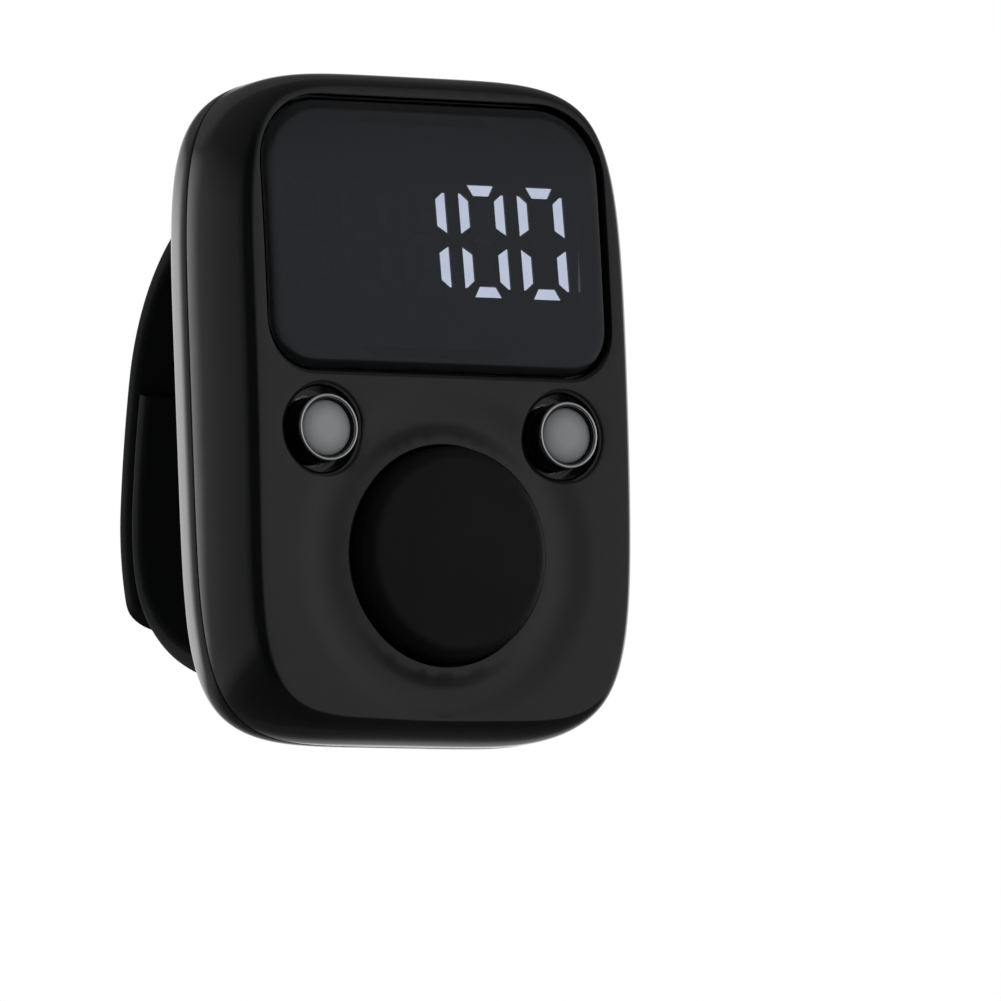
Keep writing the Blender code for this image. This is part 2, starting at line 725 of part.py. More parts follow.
def small_button(side, ring_finish, cap_finish, axis):
    """Small button: a bright rim with a flange, and a domed centre that reaches the switch."""
    outer = RING_DIAMETER / 2
    inner = outer - RING_WALL
    bead = RING_WALL / 2
    rings = [
        (inner, behind_tangent(SMALL_Z, bead - RING_PROUD)),
        (outer - bead, behind_tangent(SMALL_Z, -RING_PROUD)),
        (outer, behind_tangent(SMALL_Z, bead - RING_PROUD)),
        (outer, level(FLANGE_FRONT_Y)),
        (outer + FLANGE_WIDTH, level(FLANGE_FRONT_Y)),
        (outer + FLANGE_WIDTH, level(FLANGE_REAR_Y)),
        (inner, level(FLANGE_REAR_Y)),
    ]
    hang_on(tube(side + "_button_ring", SMALL_Z, rings, ring_finish), axis)
    cap = inner - TIGHT_GAP
    cap_rings = []
    for step in range(EDGE_STEPS):
        angle = math.pi / 2 * (step + 0.5) / EDGE_STEPS
        depth = SMALL_CAP_CROWN * (1 - math.cos(angle)) - SMALL_CAP_PROUD
        outline = circle_outline(SMALL_Z, cap * math.sin(angle), SMALL_CIRCLE_STEPS)
        cap_rings.append((outline, behind_tangent(SMALL_Z, depth)))
    straight = circle_outline(SMALL_Z, cap, SMALL_CIRCLE_STEPS)
    cap_rings.append((straight, behind_tangent(SMALL_Z, SMALL_CAP_CROWN - SMALL_CAP_PROUD)))
    cap_rings.append((straight, level(PUSHER_REAR_Y)))
    hang_on(loft(side + "_button_cap", cap_rings, cap_finish), axis)


def tube(name, centre_z, rings, finish):
    """Ring of material round a Y axis, from (radius, surface) pairs round its section."""
    points = []
    faces = []
    steps = SMALL_CIRCLE_STEPS
    for radius, surface in rings:
        outline = circle_outline(centre_z, radius, steps)
        points += [(x, surface(z), z) for x, z in outline]
        points += [(-x, surface(z), z) for x, z in reversed(outline)]
    for ring in range(len(rings)):
        following = (ring + 1) % len(rings)
        for step in range(steps):
            other = (step + 1) % steps
            faces.append((
                ring * steps + step, ring * steps + other,
                following * steps + other, following * steps + step,
            ))
    return mesh_object(name, points, faces, finish)


def switch(side, x, z, size, plunger_diameter, body_finish, plunger_finish, axis):
    """Push switch on the board: a square body and the plunger that a button presses."""
    centre = (x, SWITCH_FRONT_Y + SWITCH_HEIGHT / 2, z)
    body = centred_box(side + "_switch_body", (size, SWITCH_HEIGHT, size), centre, body_finish)
    well = plunger_diameter + 2 * RUNNING_GAP
    low_y, high_y = SWITCH_FRONT_Y - SWITCH_HEIGHT, SWITCH_FRONT_Y + 2 * SWITCH_HEIGHT
    cut(body, bore(side + "_switch_well", x, z, well, low_y, high_y))
    outline = circle_outline(z, plunger_diameter / 2, SMALL_CIRCLE_STEPS)
    rings = [(outline, level(PLUNGER_FRONT_Y)), (outline, level(SWITCH_FRONT_Y + PLUNGER_DEPTH))]
    hang_on(loft(side + "_switch_plunger", rings, plunger_finish), axis)


# Board, battery and charging socket

def main_board(finish):
    """Circuit board, cut out for the socket and drilled for its screws."""
    outline = housing_outline(BOARD_INSET)
    board = loft("main_board", [(outline, level(BOARD_FRONT_Y)), (outline, level(BOARD_REAR_Y))], finish)
    room = 2 * FIT_GAP
    size = (SOCKET_LENGTH + room, 3 * SOCKET_HEIGHT, SOCKET_WIDTH + room)
    cut(board, centred_box("socket_cutout", size, (socket_x(), socket_y(), SOCKET_Z)))
    for side, sign in (("left", -1), ("right", 1)):
        hole = SCREW_SHANK_DIAMETER + 2 * FIT_GAP
        low_y, high_y = BOARD_FRONT_Y - BOARD_THICKNESS, BOARD_REAR_Y + BOARD_THICKNESS
        cut(board, bore(side + "_board_hole", sign * SCREW_OFFSET, SCREW_Z, hole, low_y, high_y))
    return board


def rear_chip(name, size, x, z, finish):
    """Component soldered to the board's rear side."""
    return centred_box(name, size, (x, BOARD_REAR_Y + FIT_GAP + size[1] / 2, z), finish)


def board_screw(side, sign, finish):
    """Pan-head screw through the board into the shell's boss."""
    head_y = BOARD_REAR_Y + FIT_GAP
    top = SCREW_HEAD_HEIGHT
    head = SCREW_HEAD_DIAMETER / 2
    shank = SCREW_SHANK_DIAMETER / 2
    profile = [
        (SCREW_HEAD_TOP_DIAMETER / 2, top),
        (head, top / 2),
        (head, 0),
        (shank, 0),
        (shank, -SCREW_SHANK_LENGTH),
    ]
    screw = turned(side + "_board_screw", profile, SMALL_CIRCLE_STEPS, finish)
    screw.location = (sign * SCREW_OFFSET, head_y, SCREW_Z)
    screw.rotation_euler = (-math.pi / 2, 0, 0)


def socket_x():
    """Middle of the charging socket, whose mouth stops short of the side wall's face."""
    return HOUSING_WIDTH / 2 - SOCKET_RECESS - SOCKET_LENGTH / 2


def charging_socket(shell_finish, tongue_finish):
    """Metal sleeve, closed at its inner end, with a contact tongue inside."""
    size = (SOCKET_LENGTH, SOCKET_HEIGHT, SOCKET_WIDTH)
    sleeve = centred_box("charging_socket", size, (socket_x(), socket_y(), SOCKET_Z), shell_finish)
    hollow = (SOCKET_LENGTH, SOCKET_HEIGHT - 2 * SOCKET_WALL, SOCKET_WIDTH - 2 * SOCKET_WALL)
    cut(sleeve, centred_box("socket_hollow", hollow, (socket_x() + SOCKET_WALL, socket_y(), SOCKET_Z)))
    rear_x = socket_x() - SOCKET_LENGTH / 2 + SOCKET_WALL + TIGHT_GAP
    length = SOCKET_LENGTH - 4 * SOCKET_WALL
    tongue_size = (length, TONGUE_THICKNESS, TONGUE_WIDTH)
    centred_box("socket_tongue", tongue_size, (rear_x + length / 2, socket_y(), SOCKET_Z), tongue_finish)


def battery(cell_finish, tape_finish):
    """Flat cell on its adhesive tape."""
    low = (BATTERY_X - BATTERY_WIDTH / 2, BATTERY_FRONT_Y, -BATTERY_HEIGHT / 2)
    high = (BATTERY_X + BATTERY_WIDTH / 2, BATTERY_REAR_Y, BATTERY_HEIGHT / 2)
    cell = box("battery_cell", low, high, cell_finish)
    edge = cell.modifiers.new("edge", "BEVEL")
    edge.width = BATTERY_THICKNESS / 4
    edge.segments = 1
    size = (BATTERY_WIDTH - 4 * BATTERY_TAPE, BATTERY_TAPE, BATTERY_HEIGHT - 4 * BATTERY_TAPE)
    centred_box("battery_tape", size, (BATTERY_X, TAPE_REAR_Y - BATTERY_TAPE / 2, 0), tape_finish)


def lead(name, x, finish):
    """Insulated wire from the top of the cell to a pad on the board."""
    radius = LEAD_DIAMETER / 2
    start_z = BATTERY_HEIGHT / 2 + FIT_GAP
    cell_y = (BATTERY_FRONT_Y + BATTERY_REAR_Y) / 2
    pad_y = BOARD_REAR_Y + FIT_GAP
    curve = bpy.data.curves.new(name, "CURVE")
    curve.dimensions = "3D"
    curve.bevel_depth = radius
    curve.bevel_resolution = 1
    curve.use_fill_caps = True
    spline = curve.splines.new("POLY")
    spline.points.add(LEAD_STEPS)
    for step in range(LEAD_STEPS + 1):
        angle = math.pi / 2 * step / LEAD_STEPS
        y = pad_y + (cell_y - pad_y) * math.cos(angle)
        z = start_z + LEAD_REACH * math.sin(angle)
        spline.points[step].co = (x, y, z, 1)
    curve.materials.append(finish)
    bpy.context.scene.collection.objects.link(bpy.data.objects.new(name, curve))


# Strap: a route is a list of stations (place, outward), both as (y, z) vectors

def arc_stations(start, heading, radius, turn):
    """Stations along an arc that turns downwards, without the first one."""
    steps = max(2, round(radius * turn / BAND_STEP))
    middle = start - radius * outward_of(heading)
    stations = []
    for step in range(1, steps + 1):
        outward = outward_of(heading - turn * step / steps)
        stations.append((middle + radius * outward, outward))
    return stations


def outward_of(heading):
    """Side away from the finger, for a route that heads this way from +Y."""
    return Vector((-math.sin(heading), math.cos(heading)))


def along_of(heading):
    """Direction of a route with this heading."""
    return Vector((math.cos(heading), math.sin(heading)))


def hinge_place():
    """Where the tail starts to bend away, at the end of the upper strap's bend."""
    turn = math.radians(UPPER_BEND_TURN)
    start = Vector((STRAP_LEAD, UPPER_ROOT_Z))
    return start - UPPER_BEND_RADIUS * outward_of(0) + UPPER_BEND_RADIUS * outward_of(-turn)


def tail_route():
    """Stations of the tail, from the hinge to the tip."""
    heading = -math.radians(UPPER_BEND_TURN)
    route = [(hinge_place(), outward_of(heading))]
    for radius, degrees in ((TAIL_FLAT_RADIUS, TAIL_FLAT_TURN), (TAIL_BEND_RADIUS, TAIL_BEND_TURN)):
        turn = math.radians(degrees)
        route += arc_stations(route[-1][0], heading, radius, turn)
        heading -= turn
    return route


def lengths_of(route):
    """Distance of each station from the first."""
    total = [0.0]
    for (a, _), (b, _) in zip(route, route[1:]):
        total.append(total[-1] + (b - a).length)
    return total


def station_at(route, distance):
    """Station at a distance along a route."""
    total = lengths_of(route)
    for index in range(len(route) - 1):
        if distance <= total[index + 1] or index == len(route) - 2:
            share = (distance - total[index]) / (total[index + 1] - total[index])
            place = route[index][0].lerp(route[index + 1][0], share)
            outward = route[index][1].lerp(route[index + 1][1], share).normalized()
            return place, outward


def band(name, stations, finish):
    """Flat band through stations of (place, outward, half thickness, half width)."""
    points = []
    faces = []
    for place, outward, half_thickness, half_width in stations:
        for side, layer in ((-1, -1), (1, -1), (1, 1), (-1, 1)):
            spot = place + layer * half_thickness * outward
            points.append((side * half_width, spot.x, spot.y))
    for ring in range(len(stations) - 1):
        for corner in range(4):
            a, b = 4 * ring + corner, 4 * ring + (corner + 1) % 4
            faces.append((a, b, b + 4, a + 4))
    last = 4 * (len(stations) - 1)
    faces += [(0, 1, 2, 3), (last, last + 1, last + 2, last + 3)]
    return mesh_object(name, points, faces, finish)


def root_stations(root_z, outward):
    """Head of a strap inside the cover and its passage through the slot."""
    half_thickness, half_width = STRAP_THICKNESS / 2, STRAP_WIDTH / 2
    rear_y = COVER_INNER_Y - FIT_GAP
    front_y = rear_y - ROOT_HEAD_THICKNESS
    head = (ROOT_HEAD_HEIGHT / 2, half_width + ROOT_HEAD_EDGE)
    plain = (half_thickness, half_width)
    return [
        (Vector((front_y, root_z)), outward, *head),
        (Vector((rear_y, root_z)), outward, *head),
        (Vector((rear_y, root_z)), outward, *plain),
        (Vector((STRAP_LEAD, root_z)), outward, *plain),
    ]


def upper_strap(finish):
    """Upper strap, from its head in the cover to just above the hinge."""
    half_thickness, half_width = STRAP_THICKNESS / 2, STRAP_WIDTH / 2
    stations = root_stations(UPPER_ROOT_Z, outward_of(0))
    shortfall = (half_thickness + HINGE_GAP) / UPPER_BEND_RADIUS
    turn = math.radians(UPPER_BEND_TURN) - shortfall
    for place, outward in arc_stations(stations[-1][0], 0, UPPER_BEND_RADIUS, turn):
        stations.append((place, outward, half_thickness, half_width))
    return band("upper_strap", stations, finish)


def strap_tail(finish):
    """Free end of the upper strap, round at the hinge and at the tip, with a row of holes."""
    half_thickness, half_width = STRAP_THICKNESS / 2, STRAP_WIDTH / 2
    route = tail_route()
    total = lengths_of(route)
    along = -along_of(-math.radians(UPPER_BEND_TURN))
    stations = []
    for step in range(1, EDGE_STEPS):
        angle = math.pi / 2 * step / EDGE_STEPS
        place = route[0][0] + along * half_thickness * math.cos(angle)
        stations.append((place, route[0][1], half_thickness * math.sin(angle), half_width))
    tip_start = total[-1] - TAIL_TIP_LENGTH
    for (place, outward), distance in zip(route, total):
        if distance < tip_start:
            stations.append((place, outward, half_thickness, half_width))
    for step in range(TIP_STEPS + 1):
        share = math.sin(TIP_END_ANGLE * step / TIP_STEPS)
        place, outward = station_at(route, tip_start + share * TAIL_TIP_LENGTH)
        width = half_width * (1 - share ** TAIL_TIP_POWER) ** (1 / TAIL_TIP_POWER)
        stations.append((place, outward, half_thickness, width))
    tail = band("strap_tail", stations, finish)
    hinge = hinge_place()
    move_origin(tail, (0, hinge.x, hinge.y))
    hole = HOLE_DIAMETER / 2
    for index in range(HOLE_COUNT):
        place, outward = station_at(route, STUD_PLACE - index * HOLE_PITCH)
        profile = [(hole, 2 * STRAP_THICKNESS), (hole, -2 * STRAP_THICKNESS)]
        tool = turned("tail_hole_" + str(index + 1), profile, SMALL_CIRCLE_STEPS)
        cut(tail, on_strap(tool, place, outward))
    return tail


def on_strap(made, place, outward):
    """Places a turned piece on the strap with its axis outwards."""
    made.location = (0, place.x, place.y)
    made.rotation_euler = (math.atan2(-outward.x, outward.y), 0, 0)
    return made


def lap_station(distance):
    """Station of the lower strap under the tail, at a distance from the hinge."""
    place, outward = station_at(tail_route(), distance)
    return place - (STRAP_THICKNESS + LAP_GAP) * outward, outward


def lower_strap(finish):
    """Lower strap, from its head in the cover up to its end under the tail."""
    half_thickness, half_width = STRAP_THICKNESS / 2, STRAP_WIDTH / 2
    stations = root_stations(LOWER_ROOT_Z, -outward_of(0))
    root = stations[-1][0]
    lap, lap_outward = lap_station(LAP_END)
    lap_along = Vector((-lap_outward.y, lap_outward.x))
    controls = (root, root + Vector((LOWER_ROOT_HANDLE, 0)), lap - lap_along * LOWER_LAP_HANDLE, lap)
    for step in range(1, LOWER_STEPS + 1):
        t = step / LOWER_STEPS
        a, b, c, d = controls
        place = a * (1 - t) ** 3 + b * 3 * t * (1 - t) ** 2 + c * 3 * t * t * (1 - t) + d * t ** 3
        tangent = ((b - a) * (1 - t) ** 2 + (c - b) * 2 * t * (1 - t) + (d - c) * t * t).normalized()
        stations.append((place, Vector((tangent.y, -tangent.x)), half_thickness, half_width))
    lap_steps = round((LAP_END - LAP_START) / BAND_STEP)
    for step in range(1, lap_steps + 1):
        distance = LAP_END + (LAP_START - LAP_END) * step / lap_steps
        stations.append((*lap_station(distance), half_thickness, half_width))
    strap = band("lower_strap", stations, finish)
    place, outward = lap_station(STUD_PLACE)
    neck = STUD_NECK_DIAMETER / 2 + TIGHT_GAP
    base = STUD_BASE_DIAMETER / 2 + TIGHT_GAP
    floor = STUD_BASE_THICKNESS + TIGHT_GAP - half_thickness
    profile = [(neck, STRAP_THICKNESS), (neck, floor), (base, floor), (base, -STRAP_THICKNESS)]
    cut(strap, on_strap(turned("stud_hole", profile, SMALL_CIRCLE_STEPS), place, outward))
    return strap


def strap_stud(finish):
    """Stud on the lower strap, whose head holds the tail."""
    place, outward = lap_station(STUD_PLACE)
    half_thickness = STRAP_THICKNESS / 2
    base, neck, head = STUD_BASE_DIAMETER / 2, STUD_NECK_DIAMETER / 2, STUD_HEAD_DIAMETER / 2
    head_low = half_thickness + LAP_GAP + STRAP_THICKNESS + RUNNING_GAP
    profile = [
        (STUD_HEAD_TOP_DIAMETER / 2, head_low + STUD_HEAD_HEIGHT),
        (head, head_low + STUD_HEAD_SIDE),
        (head, head_low),
        (neck, head_low),
        (neck, STUD_BASE_THICKNESS - half_thickness),
        (base, STUD_BASE_THICKNESS - half_thickness),
        (base, -half_thickness),
    ]
    on_strap(turned("strap_stud", profile, SMALL_CIRCLE_STEPS, finish), place, outward)


def clear_scene():
    """Removes what the startup scene holds."""
    for old in list(bpy.data.objects):
        bpy.data.objects.remove(old, do_unlink=True)


def build():
    """Builds every piece of the counter."""
    clear_scene()
    gloss_black = material("gloss_black_plastic", (0.012, 0.012, 0.014), 0.22)
    matt_black = material("matt_black_rubber", (0.010, 0.010, 0.011), 0.6)
    strap_black = material("strap_rubber", (0.012, 0.013, 0.014), 0.7)
    smoked = material("smoked_window", (0.018, 0.018, 0.02), 0.05)
    tape_black = material("black_tape", (0.02, 0.02, 0.02), 0.9)
    case_black = material("display_case_black", (0.015, 0.015, 0.015), 0.6)
    diffuser = material("segment_diffuser", (0.72, 0.76, 0.85), 0.5)
    chrome = material("polished_rim", (0.7, 0.7, 0.72), 0.12, 1.0)
    grey_cap = material("grey_button", (0.28, 0.28, 0.29), 0.35)
    board_green = material("board_green", (0.01, 0.03, 0.02), 0.4)
    chip_black = material("chip_black", (0.02, 0.02, 0.02), 0.5)
    steel = material("plated_steel", (0.55, 0.55, 0.55), 0.3, 1.0)
    switch_black = material("switch_black", (0.03, 0.03, 0.03), 0.5)
    ivory = material("switch_plunger", (0.6, 0.55, 0.45), 0.5)
    foil = material("cell_foil", (0.5, 0.5, 0.52), 0.3, 1.0)
    red = material("red_insulation", (0.5, 0.02, 0.02), 0.5)
    black = material("black_insulation", (0.02, 0.02, 0.02), 0.5)

    port = charging_port()
    front_shell(gloss_black, port)
    back_cover(gloss_black, port)
    display_window(smoked)
    window_tape(tape_black)
    display_case(case_black)
    for index in range(DIGIT_COUNT):
        digit(index, diffuser)

    count_axis = axis_empty("count_button_axis", 0, COUNT_Z)
    count_button(matt_black, count_axis)
    size, plunger = COUNT_SWITCH_SIZE, COUNT_PLUNGER_DIAMETER
    switch("count", 0, COUNT_Z, size, plunger, switch_black, ivory, count_axis)
    for side, sign in (("left", -1), ("right", 1)):
        x = sign * SMALL_OFFSET
        axis = axis_empty(side + "_button_axis", x, SMALL_Z)
        small_button(side, chrome, grey_cap, axis)
        size, plunger = SMALL_SWITCH_SIZE, SMALL_PLUNGER_DIAMETER
        switch(side, x, SMALL_Z, size, plunger, switch_black, ivory, axis)
        board_screw(side, sign, steel)

    main_board(board_green)
    left_x = LEFT_CHIP_SIDE_MARGIN - HOUSING_WIDTH / 2
    right_x = HOUSING_WIDTH / 2 - CONTROLLER_SIDE_MARGIN
    controller_z = SOCKET_Z + SOCKET_WIDTH / 2 + CONTROLLER_ROOM + CONTROLLER_SIZE[2] / 2
    rear_chip("controller_chip", CONTROLLER_SIZE, right_x, controller_z, chip_black)
    rear_chip("charger_chip", CHARGER_SIZE, left_x, HOUSING_BOTTOM + CHARGER_RISE, chip_black)
    rear_chip("timing_crystal", CRYSTAL_SIZE, left_x, HOUSING_BOTTOM + CRYSTAL_RISE, steel)
    charging_socket(steel, chip_black)
    battery(foil, tape_black)
    lead("red_lead", BATTERY_X + LEAD_SPACING, red)
    lead("black_lead", BATTERY_X - LEAD_SPACING, black)

    upper_strap(strap_black)
    strap_tail(strap_black)
    lower_strap(strap_black)
    strap_stud(strap_black)


build()
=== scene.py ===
"""Looks of the digital finger counter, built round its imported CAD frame.

Lengths in the classes are in millimetres unless a name says otherwise, and become metres
when a mesh is made. X runs to the reader's right, +Y towards the finger, and +Z up.
"""

import logging
import math
from dataclasses import dataclass
from enum import Enum
from typing import Any, Callable, Iterable, Sequence

import bmesh
import bpy
from mathutils import Matrix, Vector
from mathutils.geometry import delaunay_2d_cdt

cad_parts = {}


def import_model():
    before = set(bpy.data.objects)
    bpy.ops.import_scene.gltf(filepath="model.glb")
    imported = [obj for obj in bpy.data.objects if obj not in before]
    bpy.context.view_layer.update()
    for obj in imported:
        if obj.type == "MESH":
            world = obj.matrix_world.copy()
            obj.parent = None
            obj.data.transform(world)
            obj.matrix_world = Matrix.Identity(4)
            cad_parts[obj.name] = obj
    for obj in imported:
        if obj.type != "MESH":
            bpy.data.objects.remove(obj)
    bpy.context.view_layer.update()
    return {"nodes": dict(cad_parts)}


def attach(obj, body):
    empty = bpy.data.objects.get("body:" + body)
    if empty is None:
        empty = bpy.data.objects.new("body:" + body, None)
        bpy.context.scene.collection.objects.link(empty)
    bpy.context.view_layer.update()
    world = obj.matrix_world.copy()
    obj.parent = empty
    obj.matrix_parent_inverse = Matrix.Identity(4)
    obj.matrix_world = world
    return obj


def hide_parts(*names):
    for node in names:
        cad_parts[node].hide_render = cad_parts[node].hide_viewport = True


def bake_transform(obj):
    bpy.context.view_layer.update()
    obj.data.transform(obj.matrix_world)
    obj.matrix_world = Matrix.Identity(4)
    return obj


LOG = logging.getLogger("finger_counter")
MM = 0.001

Point = tuple[float, float, float]
Flat = tuple[float, float]


class Slot(Enum):
    """Material slots of the record."""

    CASE = "case_plastic"
    WINDOW = "window"
    SEGMENTS = "segments"
    STEEL = "steel"
    STRAP = "strap"
    BUTTON = "button_rubber"
    RIM = "bright_rim"
    CAP = "grey_cap"


class Body(Enum):
    """Moving bodies of the record."""

    HOUSING = "housing"
    TAIL = "tail"
    COUNT = "count_key"
    LEFT = "left_key"
    RIGHT = "right_key"


# Colour and node helpers


def linear(colour: str) -> tuple[float, float, float, float]:
    """Turns an sRGB hex colour to linear.

    Args:
        colour: six hex digits after a hash sign.

    Returns:
        Linear red, green and blue, and an alpha of 1.
    """
    parts = [int(colour[start:start + 2], 16) / 255 for start in (1, 3, 5)]
    return (*(c / 12.92 if c <= 0.04045 else ((c + 0.055) / 1.055) ** 2.4 for c in parts), 1.0)


def per_metre(millimetres: float) -> float:
    """Texture scale at which one cell of a pattern has this size."""
    return 1 / (millimetres * MM)


def add_node(tree: bpy.types.NodeTree, kind: str, inputs: dict[Any, Any] | None = None,
             **settings: Any) -> bpy.types.Node:
    """Adds a node with its settings and links.

    Args:
        tree: node tree that the node goes into.
        kind: type of the node, without the leading ShaderNode.
        inputs: value or linked output socket for each input, by name or number.
        settings: properties of the node.

    Returns:
        The node.
    """
    node = tree.nodes.new("ShaderNode" + kind)
    for name, value in settings.items():
        setattr(node, name, value)
    for name, value in (inputs or {}).items():
        if isinstance(value, bpy.types.NodeSocket):
            tree.links.new(value, node.inputs[name])
        else:
            node.inputs[name].default_value = value
    return node


# Finishes


@dataclass(frozen=True)
class Finish:
    """A material and how its surface was made."""

    name: str
    colour: str
    roughness: float = 0.4

    def material(self) -> bpy.types.Material:
        """Makes the Blender material, or finds it if it was made before.

        Returns:
            The material.
        """
        found = bpy.data.materials.get(self.name)
        if found:
            return found
        made = bpy.data.materials.new(self.name)
        made.use_nodes = True
        tree = made.node_tree
        shader = tree.nodes["Principled BSDF"]
        shader.inputs["Base Color"].default_value = linear(self.colour)
        shader.inputs["Roughness"].default_value = self.roughness
        self.dress(tree, shader)
        return made

    def dress(self, tree: bpy.types.NodeTree, shader: bpy.types.Node) -> None:
        """Adds what sets this finish apart.

        Args:
            tree: node tree of the material.
            shader: its Principled shader.
        """

    def place(self, tree: bpy.types.NodeTree) -> bpy.types.NodeSocket:
        """Coordinates that stay with the piece, in metres."""
        return add_node(tree, "TexCoord").outputs["Object"]

    def vary(self, tree: bpy.types.NodeTree, shader: bpy.types.Node, target: str,
             value: bpy.types.NodeSocket, low: Any, high: Any) -> None:
        """Blends a socket of the shader between two values by a pattern.

        Args:
            tree: node tree of the material.
            shader: shader whose socket is varied.
            target: name of that socket.
            value: pattern from 0 to 1.
            low: value or hex colour at 0.
            high: value or hex colour at 1.
        """
        if isinstance(low, str):
            mixed = add_node(tree, "Mix", {"Factor": value, 6: linear(low), 7: linear(high)},
                             data_type="RGBA")
            tree.links.new(mixed.outputs[2], shader.inputs[target])
            return
        mixed = add_node(tree, "MapRange", {"Value": value, "To Min": low, "To Max": high})
        tree.links.new(mixed.outputs["Result"], shader.inputs[target])

    def bump(self, tree: bpy.types.NodeTree, shader: bpy.types.Node,
             height: bpy.types.NodeSocket, depth: float) -> None:
        """Raises the surface by a pattern.

        Args:
            tree: node tree of the material.
            shader: shader that gets the bump.
            height: pattern from 0 to 1.
            depth: height of the relief, in millimetres.
        """
        relief = add_node(tree, "Bump", {"Height": height, "Distance": depth * MM})
        tree.links.new(relief.outputs["Normal"], shader.inputs["Normal"])

    def noise(self, tree: bpy.types.NodeTree, size: float, detail: float = 2.0,
              stretch: Sequence[float] = (1.0, 1.0, 1.0)) -> bpy.types.NodeSocket:
        """Noise with cells of a size in millimetres.

        Args:
            tree: node tree of the material.
            size: size of one cell.
            detail: number of finer layers.
            stretch: scale along each axis; below 1 draws the cells out.

        Returns:
            The noise, from 0 to 1.
        """
        mapping = add_node(tree, "Mapping", {"Vector": self.place(tree), "Scale": stretch})
        inputs = {"Vector": mapping.outputs[0], "Scale": per_metre(size), "Detail": detail}
        return add_node(tree, "TexNoise", inputs).outputs[0]


@dataclass(frozen=True)
class PolishedMouldAbs(Finish):
    """Black ABS from a polished mould.

    It gives deep soft reflections with a slight orange peel, and haze where hands rub it.
    """

    haze: float = 0.05
    haze_size: float = 7.0
    peel_size: float = 1.1
    peel_depth: float = 0.0012
    specular: float = 0.5

    def dress(self, tree: bpy.types.NodeTree, shader: bpy.types.Node) -> None:
        """Adds the haze and the orange peel."""
        shader.inputs["IOR"].default_value = 1.54
        shader.inputs["Specular IOR Level"].default_value = self.specular
        cloud = self.noise(tree, self.haze_size, 4.0)
        self.vary(tree, shader, "Roughness", cloud, self.roughness - self.haze,
                  self.roughness + self.haze)
        self.bump(tree, shader, self.noise(tree, self.peel_size), self.peel_depth)


@dataclass(frozen=True)
class MouldedRubber(Finish):
    """Silicone or TPU rubber from a fine-blasted mould.

    It gives a dry matt black with uneven dusting and a fine even grain.
    """

    grain_size: float = 0.14
    grain_depth: float = 0.006
    dust: str = "#2a2b2d"
    specular: float = 0.5

    def dress(self, tree: bpy.types.NodeTree, shader: bpy.types.Node) -> None:
        """Adds the grain and the uneven dusting."""
        shader.inputs["IOR"].default_value = 1.43
        shader.inputs["Specular IOR Level"].default_value = self.specular
        cloud = self.noise(tree, 4.5, 5.0)
        self.vary(tree, shader, "Base Color", cloud, self.colour, self.dust)
        self.vary(tree, shader, "Roughness", cloud, self.roughness + 0.05, self.roughness - 0.05)
        self.bump(tree, shader, self.noise(tree, self.grain_size), self.grain_depth)


@dataclass(frozen=True)
class SmokedAcrylic(Finish):
    """Smoked acrylic sheet, flame-polished at its edge.

    It darkens what lies behind it and mirrors the room in a hard clear gloss.
    """

    tint: str = "#eaf4ff"
    smear_size: float = 9.0

    def dress(self, tree: bpy.types.NodeTree, shader: bpy.types.Node) -> None:
        """Makes the sheet clear and adds faint smears."""
        shader.inputs["IOR"].default_value = 1.54
        shader.inputs["Specular Tint"].default_value = linear(self.tint)
        shader.inputs["Transmission Weight"].default_value = 1.0
        smear = self.noise(tree, self.smear_size, 3.0, (1.0, 1.0, 0.4))
        self.vary(tree, shader, "Roughness", smear, self.roughness, self.roughness + 0.03)


@dataclass(frozen=True)
class PlatedRim(Finish):
    """ABS with bright vacuum plating.

    It mirrors the studio, and tiny dips in the plating break up the highlight.
    """

    def dress(self, tree: bpy.types.NodeTree, shader: bpy.types.Node) -> None:
        """Makes it metallic and adds the dips."""
        shader.inputs["Metallic"].default_value = 1.0
        dips = self.noise(tree, 0.5, 3.0)
        self.vary(tree, shader, "Roughness", dips, self.roughness, self.roughness + 0.1)
        self.bump(tree, shader, dips, 0.001)


@dataclass(frozen=True)
class MilkyPolycarbonate(Finish):
    """Milky polycarbonate that spreads the light of a lamp below it.

    It looks soft and slightly deep. Given a centre, its colour holds painted light in the middle that fades
    to painted shade at the edge.
    """

    # Second colour: a random cloud tone, and, with a centre given, the painted shade at the edge.
    cloud_and_painted_edge_shade: str = "#77787a"
    depth: float = 0.5
    # Middle of the painted light; over reach from it the colour fades to painted shade.
    painted_light_centre: Flat | None = None
    reach: float = 1.6

    def dress(self, tree: bpy.types.NodeTree, shader: bpy.types.Node) -> None:
        """Adds the depth, and the cloudy colour or, given a centre, painted light in the middle fading to
        painted shade at the edge.
        """
        shader.inputs["IOR"].default_value = 1.58
        shader.inputs["Subsurface Weight"].default_value = 0.3
        shader.inputs["Subsurface Radius"].default_value = (1.0, 1.0, 1.0)
        shader.inputs["Subsurface Scale"].default_value = self.depth * MM
        pattern = self.noise(tree, 1.2, 4.0)
        # Painted light and shade: the colour is lighter at the centre and darker towards the edge.
        if self.painted_light_centre:
            middle = (self.painted_light_centre[0] * MM, 0.0, self.painted_light_centre[1] * MM)
            flat = add_node(tree, "VectorMath", {0: self.place(tree), 1: (1.0, 0.0, 1.0)},
                            operation="MULTIPLY")
            away = add_node(tree, "VectorMath", {0: flat.outputs[0], 1: middle}, operation="DISTANCE")
            pattern = add_node(tree, "MapRange", {
                "Value": away.outputs["Value"],
                "From Min": self.reach * MM, "From Max": 0.4 * self.reach * MM,
            }).outputs[0]
        self.vary(tree, shader, "Base Color", pattern, self.cloud_and_painted_edge_shade, self.colour)
        self.bump(tree, shader, self.noise(tree, 0.2), 0.0015)


